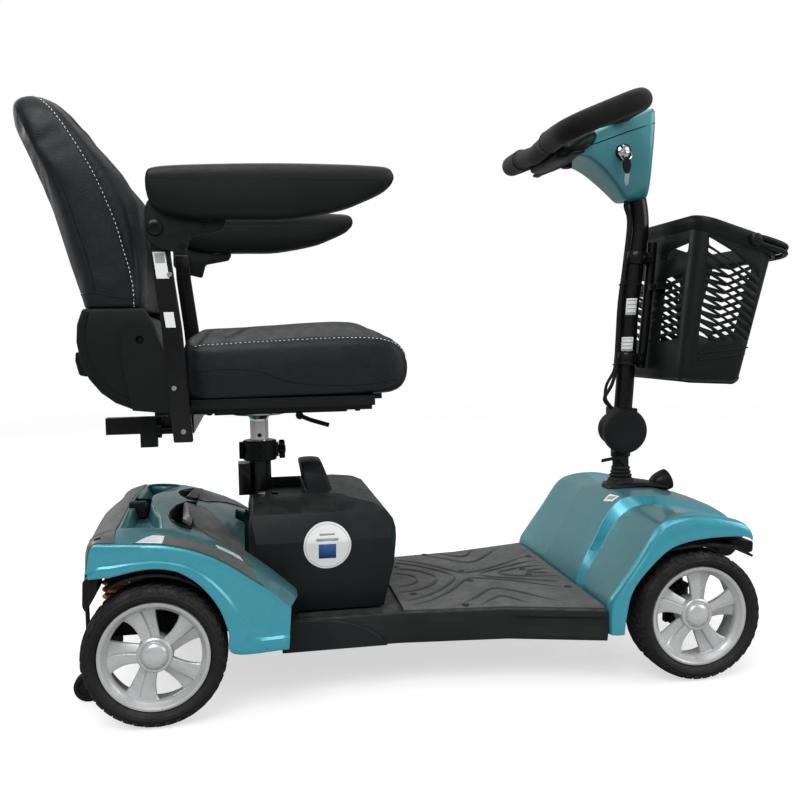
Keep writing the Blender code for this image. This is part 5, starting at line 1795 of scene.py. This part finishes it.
def console_shell():
    """The console's body: wide at the rider's end, narrowing to a neck over the tiller head."""
    bm = bmesh.new()
    rows = []
    for x, w, drop, rise in ((738, 74, 17, -4), (743, 88, 24, 0), (760, 97, 30, 2), (784, 98, 33, 3.5),
                             (803, 88, 26, 4), (820, 64, 24, 4), (846, 52, 26, 4), (860, 46, 22, 2),
                             (864, 40, 17, -3)):
        t = bar_z(x) - CONSOLE_SINK
        rows.append([(x, y, z) for y, z in ((-w, t - drop * 0.45), (-w + 3, t - drop * 0.1),
                                            (-w + 9, t + rise), (-w * 0.5, t + rise + 1.5),
                                            (0, t + rise + 2), (w * 0.5, t + rise + 1.5), (w - 9, t + rise),
                                            (w - 3, t - drop * 0.1), (w, t - drop * 0.45),
                                            (w - 6, t - drop), (w * 0.5, t - drop - 3),
                                            (-w * 0.5, t - drop - 3), (-w + 6, t - drop))])
    add_grid(bm, rows, close_u=True, caps=True)
    finish_mesh("control_console", bm, BLACK, "tiller", ("control_panel",), subdivide=2)


def battery_gauge():
    """A dark window with a row of lights."""
    gauge = bmesh.new()
    rows = [[console_spot(838, 0, lift) + CONSOLE_ALONG * (sx * 10 * k) + Vector((0, sy * 30 * k, 0))
             for sx, sy in CORNERS]
            for lift, k in ((-2.0, 1.0), (0.8, 1.0), (1.4, 0.94))]
    add_grid(gauge, rows, close_u=True, caps=True)
    finish_mesh("battery_gauge", gauge, DARK_AND_HOLE_SHADE, "tiller", bevel=0.4)
    bars = bmesh.new()
    for k in range(6):
        y = -20 + 8 * k
        rows = [[console_spot(838, y, lift) + CONSOLE_ALONG * (sx * 3.2) + Vector((0, sy * 2.6, 0))
                 for sx, sy in CORNERS]
                for lift in (1.0, 1.7)]
        add_grid(bars, rows, close_u=True, caps=True, mat=0 if k < 2 else 1)
    finish_mesh("gauge_lights", bars, [RED, LABEL_GREY], "tiller")


def speed_dial():
    """A fluted knob with a white pointer."""
    dial = bmesh.new()
    outline = []
    for k in range(96):
        a = 2 * math.pi * k / 96
        outline.append((13.2 + 0.7 * math.cos(a * 16), a))
    base = console_spot(800, 0, -6.0)
    rows = []
    for h, k in ((0, 1.0), (8.5, 1.0), (10.2, 0.90), (10.8, 0.72)):
        rows.append([base + CONSOLE_NORMAL * h
                     + k * r * (math.cos(a) * CONSOLE_ALONG + math.sin(a) * Vector((0, 1, 0))) for r,
                     a in outline])
    add_grid(dial, rows, close_u=True, caps=True)
    pointer = base + CONSOLE_NORMAL * 10.6
    rows = [[pointer + CONSOLE_NORMAL * lift + CONSOLE_ALONG * (4 + sx * 3.5) + Vector((0, sy, 0))
             for sx, sy in CORNERS]
            for lift in (0.0, 0.7)]
    add_grid(dial, rows, close_u=True, caps=True, mat=1)
    finish_mesh("speed_dial_knob", dial, [BLACK, LABEL], "dial", ("speed_dial",))


def console_buttons():
    """The red horn button and three black switches."""
    button = bmesh.new()
    add_lathe(button, [(0.0, 5.0), (4.5, 4.8), (7.0, 3.8), (8.0, 2.0), (8.0, -4.0), (0.0, -4.0)],
              console_spot(800, 45, -0.5), CONSOLE_NORMAL, 32)
    finish_mesh("horn_button_cap", button, RED, "horn", ("horn_button",))
    switches = bmesh.new()
    for x, y in ((796, -45), (782, -70), (782, 70)):
        add_lathe(switches, [(0.0, 3.4), (4.5, 3.2), (6.6, 2.4), (7.2, 0.6), (9.0, 0.4), (9.2, -2.0),
                             (0.0, -2.0)], console_spot(x, y, 0.0),
                  CONSOLE_NORMAL, 28)
    finish_mesh("console_switches", switches, MATT, "tiller")


def handlebar():
    """The padded loop with its grip rings and brackets, and the throttle paddles under it."""
    corner, half = 44.0, 193.0
    pts = []
    for quarter, (cx, cy) in enumerate(((LOOP_FRONT - corner, half - corner),
                                        (LOOP_REAR + corner, half - corner),
                                        (LOOP_REAR + corner, -half + corner),
                                        (LOOP_FRONT - corner, -half + corner))):
        for k in range(9):
            a = math.radians(90 * quarter + 90 * k / 8)
            pts.append((cx + corner * math.cos(a), cy + corner * math.sin(a)))
    path = []
    for i, (x, y) in enumerate(pts):
        nx, ny = pts[(i + 1) % len(pts)]
        gap = math.hypot(nx - x, ny - y)
        n = max(1, int(gap / 9))
        for k in range(n):
            t = k / n
            px, py = x + (nx - x) * t, y + (ny - y) * t
            dip = 9.0 * max(0.0, 1.0 - abs(py) / 120.0) ** 1.5 if px < 790 else 0.0
            path.append((px, py, bar_z(px) - dip))
    radii = []
    for x, y, z in path:
        thin = 1.0 if abs(y) > 84 else 0.86 + 0.14 * max(0.0, (abs(y) - 70) / 14)
        radii.append(20.4 * thin)
    bm = bmesh.new()
    add_tube(bm, path, radii, 28, closed=True)
    finish_mesh("handlebar_grip", bm, FOAM, "tiller", ("handlebar",))
    rings = bmesh.new()
    for s in (-1, 1):
        for x in (LOOP_FRONT, LOOP_REAR):
            z = bar_z(x) - (9.0 * max(0.0, 1.0 - 84 / 120.0) ** 1.5 if x < 790 else 0)
            add_lathe(rings, [(17.0, -2.5), (20.9, -2.0), (21.5, 0.0), (20.9, 2.0), (17.0, 2.5)],
                      (x, s * 84, z), (0, 1, 0), 32)
    finish_mesh("grip_rings", rings, MATT, "tiller")
    handlebar_brackets()
    throttle_paddles()


def handlebar_brackets():
    arms = bmesh.new()
    for s in (-1, 1):
        add_tube(arms, smooth_path([(845, s * 40, bar_z(845) - 24), (856, s * 46, bar_z(856) - 10),
                                    (LOOP_FRONT, s * 52, bar_z(LOOP_FRONT) - 4)], 5), 9, 14)
    for y in (-30, 30):
        add_tube(arms, [(LOOP_REAR + 6, y, bar_z(LOOP_REAR) - 12), (756, y, bar_z(756) - 24)], 8, 12)
    finish_mesh("handlebar_brackets", arms, STEEL, "tiller")


def throttle_paddles():
    paddles = bmesh.new()
    for s in (-1, 1):
        rows = []
        for y, x, w, t in ((0, 779, 8, 4.2), (40, 776, 8, 4.0), (80, 770, 9, 3.6), (104, 767, 10, 3.2),
                           (120, 769, 9, 2.8), (128, 773, 5, 2.0)):
            rows.append([(x + w * math.cos(a), s * y, 950 + t * math.sin(a))
                         for a in (2 * math.pi * k / 14 for k in range(14))])
        add_grid(paddles, rows, close_u=True, caps=True)
    add_lathe(paddles, [(0.0, 14.0), (9.0, 14.0), (11.0, 12.0), (11.0, -4.5), (9.0, -6.0), (0.0, -6.0)],
              (790, 0, 950), steps=28)
    finish_mesh("throttle_paddles", paddles, MATT, "throttle", ("throttle_lever",))


def key():
    """The barrel with its surround, and a key hanging in it on a ring."""
    face = -57.6
    bm = bmesh.new()
    add_lathe(bm, [(0.0, 5.0), (5.5, 5.0), (7.5, 4.2), (10.5, 3.0), (12.2, 1.6), (12.5, -1.0)],
              (884, face, 967), (0, -1, 0), 36)
    add_tube(bm, [(884, face - 4, 967), (884, face - 12, 967)], 2.6, 10, flat=0.45)
    ring = [(884 + 9.5 * math.cos(a), face - 12.5 - 2.5 * math.cos(a), 957 + 9.5 * math.sin(a))
            for a in (2 * math.pi * k / 28 for k in range(28))]
    add_tube(bm, ring, 0.9, 6, closed=True)
    blade = round_outline([(884.5, 948), (890.5, 945), (889.0, 916), (887.2, 904), (883.0, 899),
                           (880.6, 905), (879.8, 917), (880.2, 944)], 2)
    add_prism(bm, blade, face - 14.2, face - 12.4)
    finish_mesh("ignition_key_and_ring", bm, CHROME, "key", ("ignition_key",))
    bow = bmesh.new()
    add_prism(bow, round_outline([(877.5, 950), (890, 952), (893.5, 936), (888, 922), (880.5, 923),
                                  (875.5, 936)], 5), face - 16.0, face - 11.6)
    finish_mesh("key_bow", bow, BLACK, "key", bevel=1.0)
    plate = bmesh.new()
    add_lathe(plate, [(12.5, 0.6), (15.5, 0.4), (16.5, -1.4), (12.5, -1.4)], (884, face, 967), (0, -1, 0),
              40, closed=True)
    finish_mesh("ignition_escutcheon", plate, BLACK, "tiller")


# ------------------------------------------------------------------ basket

BASKET_STEPS = 7


def basket_ring(share, grow=0.0, drop=0.0):
    """A rounded rectangle round the basket, at a share of its height; grow widens it and drop lowers it."""
    rear, front = 955.5 + 36 * share, 1081 + 75 * share
    half, r = 151 + 4 * share, 20 + 16 * share
    ring = []
    for cx, cy, a0 in ((front - r, half - r, 0), (rear + r, half - r, 90), (rear + r, r - half, 180),
                       (front - r, r - half, 270)):
        for k in range(BASKET_STEPS + 1):
            a = math.radians(a0 + 90 * k / BASKET_STEPS)
            x, y = cx + (r + grow) * math.cos(a), cy + (r + grow) * math.sin(a)
            u = (cx + r * math.cos(a) - rear) / (front - rear)
            foot = 530 - 12 * min(1.0, u / 0.76) + 14 * max(0.0, (u - 0.76) / 0.24)
            ring.append((x, y, foot + (836 - 52 * u - foot) * share - drop))
    return ring


def basket():
    basket_wall()
    basket_floor()
    basket_trim()
    basket_handle()
    basket_bracket()


def basket_wall():
    """A drawn-up sheet with sloping slots in its sides, level ones behind and a herringbone in front."""
    wall = bmesh.new()
    add_grid(wall, [basket_ring(k / 10, -1.5) for k in range(11)], close_u=True)
    obj = finish_mesh("basket_wall", wall, BLACK, "tiller", ("basket",), outward=False)
    thicken(obj, 3.2)
    bake(obj)
    cut = bmesh.new()
    fall = -0.66
    for k in range(12):
        x0, z0 = 1010 - 1.7 * k, 786 - 15.4 * k
        x1 = min(x0 + 100, 1113 - 0.9 * k)
        z1 = z0 + (x1 - x0) * fall
        if z1 < 602:
            x1, z1 = x0 + (602 - z0) / fall, 602
        if x1 - x0 < 16:
            continue
        h = 4.6 if k else 8.5
        slot = [(x0, z0 + h), (x0 + (x1 - x0) * 0.5, z0 + (z1 - z0) * 0.42 + h), (x1, z1 + h * 0.7),
                (x1 + 1, z1 - h * 0.4), (x0 + (x1 - x0) * 0.5, z0 + (z1 - z0) * 0.5 - h * 0.6),
                (x0, z0 - h * 0.8)]
        add_prism(cut, round_outline(slot, 2.2, 2), -175, 175)
    for s in (-1, 1):
        rows = [(778, 17)] + [(724 - 16.5 * k, 9.5) for k in range(8)]
        for z, tall in rows:
            slot = [(s * 42, z), (s * 122, z + 9), (s * 122, z + 9 - tall), (s * 42, z - tall)]
            add_prism(cut, round_outline(slot, 3.5, 2), 900, 1040, "yz")
    for k in range(9):
        z, lean = 744 - 16.5 * k, 13.0
        slot = [(-80, z + lean), (-80, z + lean - 8.5), (0, z - 9.5), (80, z + lean - 8.5), (80, z + lean),
                (0, z)]
        add_prism(cut, round_outline(slot, 2.5, 2), 1050, 1200, "yz")
    cut_with(obj, cut)
    bevel_piece(obj, 0.7, 2)


def basket_floor():
    tray = bmesh.new()
    ring = basket_ring(0.012, -3.0)
    lower = [(x, y, z - 2.6) for x, y, z in ring]
    add_grid(tray, [lower, ring], close_u=True, caps=True)
    for y in (-110, -66, -22, 22, 66, 110):
        add_tube(tray, [(966, y, 531.5), (1022, y, 523.5), (1062, y, 522.5)], 2.2, 8)
    finish_mesh("basket_floor", tray, BLACK, "tiller")


def basket_trim():
    """The rolled rim, the band round the foot and the ribs low on each side."""
    trim = bmesh.new()
    section = ((-3.5, 1.0), (0.0, -1.5), (4.0, 0.0), (6.0, 5.0), (5.2, 14.0), (3.0, 27.0), (0.4, 30.0),
               (-3.6, 29.0))
    add_grid(trim, [basket_ring(1.0, grow, drop) for grow, drop in section], close_u=True, close_v=True)
    section = ((-3.5, -3.0), (0.4, -4.0), (1.6, 0.0), (0.0, 3.0), (-3.5, 3.5))
    add_grid(trim, [basket_ring(0.0, grow, drop) for grow, drop in section], close_u=True, close_v=True)
    for s in (-1, 1):
        for z, x1 in ((583, 1090), (571, 1084)):
            add_tube(trim, [(990, s * 152.6, z - 4), (x1, s * 152.6, z + 5)], 1.5, 8)
    finish_mesh("basket_trim", trim, BLACK, "tiller")


def basket_handle():
    """The double carrying bail and its round pivots."""
    handle = bmesh.new()
    for lift, r, reach in ((4.5, 5.6, 0), (-7.0, 5.0, -3)):
        half = [(1098, 164.5, 788 + lift * 0.3), (1112, 165.5, 786 + lift), (1140, 165.0, 778 + lift),
                (1158, 161, 772 + lift), (1167 + reach * 0.3, 148, 768 + lift),
                (1170 + reach * 0.3, 120, 766 + lift), (1171 + reach * 0.3, 60, 765 + lift)]
        pts = half + [(x, -y, z) for x, y, z in reversed(half)]
        add_tube(handle, smooth_path(pts, 5), r, 14)
    for s in (-1, 1):
        add_lathe(handle, [(0.0, 5.0), (7.0, 5.0), (10.5, 3.6), (12.5, 1.0), (12.8, -3.2), (0.0, -3.2)],
                  (1098, s * 166, 788), (0, s, 0), 36)
        add_bolt(handle, (1098, s * 170.8, 788), (0, s, 0), 4.5, 1.6)
    finish_mesh("basket_bail", handle, BLACK, "basket_bail", ("basket_handle",))


def basket_bracket():
    """A bar behind the basket, clamped to the tiller at two heights."""
    bracket = bmesh.new()
    add_tube(bracket, smooth_path([(971, 0, 800), (968, 0, 760), (960, 0, 680), (952, 0, 600),
                                   (945, 0, 548)], 5), 9.5, 16)
    for z, reach in ((768, 968), (567, 946)):
        x = tube_x(z)
        add_lathe(bracket, [(18.6, -13), (23.5, -12), (24.5, -9), (24.5, 9), (23.5, 12), (18.6, 13)],
                  (x, 0, z), (0.10, 0, 1), 36, closed=True)
        add_box(bracket, (x + 17, reach), (-13, 13), (z - 11, z + 11))
        add_bolt(bracket, (x + 20, -24.5, z), (0, -1, 0), 4.0, 2.4)
        add_box(bracket, (x + 14, x + 26), (-24, 24), (z - 8, z + 8))
    add_box(bracket, (957, 990), (-50, 50), (704, 716))
    finish_mesh("basket_bracket_finished", bracket, STEEL, "tiller", ("basket_bracket",), bevel=1.0)


# ------------------------------------------------------------------ chassis details

def headlight():
    """The lamp pod on its plinth, its glass, and the plain label on the nose beside it."""
    axis = Vector((0.94, 0, 0.34)).normalized()
    base = Vector((1003, 0, 318))
    bm = bmesh.new()
    add_lathe(bm, [(16.6, 3.0), (19.6, 4.4), (21.3, 3.0), (21.8, -1.0), (21.2, -12.0), (18.6, -24.0),
                   (13.5, -33.0), (6.0, -37.5), (0.0, -38.5)],
              base, axis, 48)
    add_lathe(bm, [(0.0, 1.2), (16.6, 1.2), (16.6, 3.0)], base, axis, 48)
    add_tube(bm, [(962, 0, 303), (978, 0, 307), (992, 0, 310)], [11, 12, 13], 16)
    rows = []
    for x, w, z in ((868, 16, 311.5), (878, 34, 314.5), (903, 42, 317.0), (935, 42, 318.5),
                    (965, 34, 314.5), (990, 26, 309.5), (1002, 16, 306.0)):
        rows.append([(x, y, zz) for y, zz in ((-w, z - 4.5), (-w + 3, z - 0.6), (-w + 9, z + 1.2),
                                              (0, z + 1.8), (w - 9, z + 1.2), (w - 3, z - 0.6),
                                              (w, z - 4.5))])
    add_grid(bm, rows, close_u=True, caps=True)
    finish_mesh("headlight_pod", bm, BLACK, "chassis", ("headlight_housing",), angle=40)
    lens = bmesh.new()
    add_lathe(lens, [(0.0, 5.6), (8.0, 5.0), (13.5, 3.6), (16.4, 1.8), (16.4, 1.3), (0.0, 1.3)], base, axis,
              40)
    finish_mesh("headlight_glass", lens, LAMP, "chassis", ("headlight_lens",))
    label = bmesh.new()
    skin = front_skin()
    add_patch(label, skin, lambda s: (846 + 6 * s, 860 + 6 * s), (0.95, 1.85), 0.7, 0.6, -1, (4, 5))
    add_patch(label, skin, lambda s: (850 + 5 * s, 856 + 7 * s), (1.1, 1.7), 0.9, 0.3, -1, (3, 3), mat=1)
    finish_mesh("nose_label", label, [LABEL, LABEL_GREY], "chassis")


def underbody():
    """The kept running gear with broken edges, the anti-tip rollers and the suspension coils."""
    for node, body in (("rear_frame", "chassis"), ("front_frame", "chassis"),
                       ("anti_tip_bracket", "chassis"), ("transaxle", "drive_unit"),
                       ("steering_knuckle_right", "knuckle_right"),
                       ("steering_knuckle_left", "knuckle_left"), ("tie_rod_right", "tie_rod_right"),
                       ("tie_rod_left", "tie_rod_left")):
        refine(node, body, CHASSIS, 0.8)
    refine("freewheel_lever", "freewheel", BLACK, 2.2)
    for label, s in SIDES:
        bm = bmesh.new()
        add_lathe(bm, [(25.0, -6.5), (25.0, 6.5), (23.6, 8.4), (21.0, 9.0), (17.5, 8.8), (16.0, 6.0),
                       (9.5, 6.0), (8.5, 9.0), (4.6, 9.0), (4.6, -9.0), (8.5, -9.0), (9.5, -6.0),
                       (16.0, -6.0), (17.5, -8.8), (21.0, -9.0), (23.6, -8.4)], (-126, s * 120, 25),
                  (0, 1, 0), 48, closed=True)
        finish_mesh(f"anti_tip_roller_{label}", bm, CASTOR, f"anti_tip_wheel_{label}",
                    (f"anti_tip_wheel_{label}",))
        coil = bmesh.new()
        pts = []
        turns = 5.5
        for k in range(int(turns * 20) + 1):
            t = k / (turns * 20)
            a = 2 * math.pi * k / 20
            z = 170 + (241 - 170) * (0.04 * min(1, t * 12) + 0.92 * t + 0.04 * max(0, (t - 0.92) / 0.08))
            pts.append((-67 + 23 * math.cos(a), s * 150 + 23 * math.sin(a), z))
        add_tube(coil, pts, 3.4, 8)
        obj = finish_mesh(f"suspension_coil_{label}", coil, ORANGE, "chassis",
                          (f"suspension_spring_{label}",))
        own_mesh(obj)
        cups = bmesh.new()
        add_lathe(cups, [(0.0, 166.3), (27.5, 166.3), (28, 170.0), (26.2, 171.0), (25.8, 168.0),
                         (0.0, 168.0)], (-67, s * 150, 0), steps=32)
        finish_mesh(f"spring_cup_{label}", cups, CHASSIS, "drive_unit")


# ------------------------------------------------------------------ staging

def staging():
    """Pale floor that fades into a white surround, and soft lights."""
    bm = bmesh.new()
    add_grid(bm, [[(-60000, -20000, 0), (60000, -20000, 0)], [(-60000, 90000, 0), (60000, 90000, 0)]])
    for v in bm.verts:
        v.co *= 0.001
    mesh = bpy.data.meshes.new("floor")
    bm.to_mesh(mesh)
    bm.free()
    floor = bpy.data.objects.new("floor", mesh)
    paper = Nodes("floor_paper")
    tone = paper.mix(paper.noise(3.0), (0.44, 0.44, 0.44), (0.46, 0.46, 0.455))
    paper.feed(paper.shader.inputs["Base Color"], tone)
    paper.feed(paper.shader.inputs["Roughness"], 0.9)
    paper.feed(paper.shader.inputs["Specular IOR Level"], 0.1)
    seen = paper.tree.nodes.new("ShaderNodeLightPath").outputs["Is Camera Ray"]
    paper.feed(paper.shader.inputs["Emission Color"], (1.0, 1.0, 1.0, 1.0))
    spot = paper.tree.nodes.new("ShaderNodeNewGeometry").outputs["Position"]
    reach = paper.add("ShaderNodeVectorMath", operation="LENGTH")
    paper.feed(reach.inputs[0], spot)
    glow = paper.span(reach.outputs["Value"], 1.0, 9.0, 0.62, 0.83)
    paper.feed(paper.shader.inputs["Emission Strength"], paper.math("MULTIPLY", seen, glow))
    mesh.materials.append(paper.mat)
    bpy.context.scene.collection.objects.link(floor)

    world = bpy.data.worlds.new("studio")
    bpy.context.scene.world = world
    world.use_nodes = True
    tree = world.node_tree
    background = tree.nodes["Background"]
    background.inputs["Color"].default_value = (1.0, 1.0, 1.0, 1.0)
    path = tree.nodes.new("ShaderNodeLightPath")
    strength = tree.nodes.new("ShaderNodeMapRange")
    strength.inputs["To Min"].default_value = 0.42
    strength.inputs["To Max"].default_value = 1.0
    tree.links.new(path.outputs["Is Camera Ray"], strength.inputs["Value"])
    tree.links.new(strength.outputs["Result"], background.inputs["Strength"])
    for name, spot, aim, size, power in (
            ("key", (-1.2, -2.6, 3.2), (0, 0, 0.4), 2.4, 105),
            ("front_fill", (2.8, -1.6, 1.8), (0.1, 0, 0.4), 2.0, 42),
            ("top", (0.2, 0.6, 3.4), (0, 0, 0.3), 3.0, 60),
            ("rear_rim", (-2.6, 2.0, 2.2), (0, 0, 0.5), 2.0, 45)):
        light = bpy.data.lights.new(name, "AREA")
        light.size = size
        light.energy = power
        obj = bpy.data.objects.new(name, light)
        obj.location = spot
        obj.rotation_euler = (Vector(aim) - Vector(spot)).to_track_quat("-Z", "Y").to_euler()
        bpy.context.scene.collection.objects.link(obj)


def camera():
    """A lens just above the seat cushion, looking slightly down and a little left of square to the right side."""
    yaw, pitch, roll = 0.1704, 0.0715, -0.0173
    forward = Vector((math.sin(yaw) * math.cos(pitch), math.cos(yaw) * math.cos(pitch), -math.sin(pitch)))
    right = Vector((math.cos(yaw), -math.sin(yaw), 0.0))
    up = right.cross(forward)
    right, up = (math.cos(roll) * right + math.sin(roll) * up, -math.sin(roll) * right + math.cos(roll) * up)
    cam = bpy.data.cameras.new("camera")
    cam.sensor_width = 36.0
    cam.lens = 39.9
    obj = bpy.data.objects.new("camera", cam)
    turn = Matrix((right, up, -forward)).transposed().to_4x4()
    obj.matrix_world = Matrix.Translation(place((159.2, -1689.4, 620.0))) @ turn
    bpy.context.scene.collection.objects.link(obj)
    bpy.context.scene.camera = obj
    bpy.context.scene.view_settings.view_transform = "Standard"


def dress_frame():
    """Gives each CAD node that stays visible its finished material."""
    looks = {"chrome": CHROME, "black_steel": CHASSIS, "black_plastic": BLACK, "castor_rubber": CASTOR,
             "spring": ORANGE, "teal_paint": TEAL, "charcoal_plastic": CHARCOAL, "mat": DECK, "cable": BLACK,
             "grip": FOAM, "leatherette": LEATHER, "clear_lens": LENS, "red_plastic": RED, "tyre": TYRE,
             "silver_alloy": RIM, "arm_pad": PAD}
    for entry in frame["record"]["subparts"]:
        obj = frame["nodes"][entry["node"]]
        obj.data.materials.clear()
        obj.data.materials.append(looks[entry["material_slot"]])
        obj.data.shade_smooth()
        obj.data.set_sharp_from_angle(angle=math.radians(32))


dress_frame()
wheels()
front_body()
rear_body()
floor()
battery()
backrest()
seat_cushion()
hinge_covers()
armrests()
seat_base()
tiller_column()
tiller_head()
console()
handlebar()
key()
basket()
headlight()
underbody()
staging()
camera()
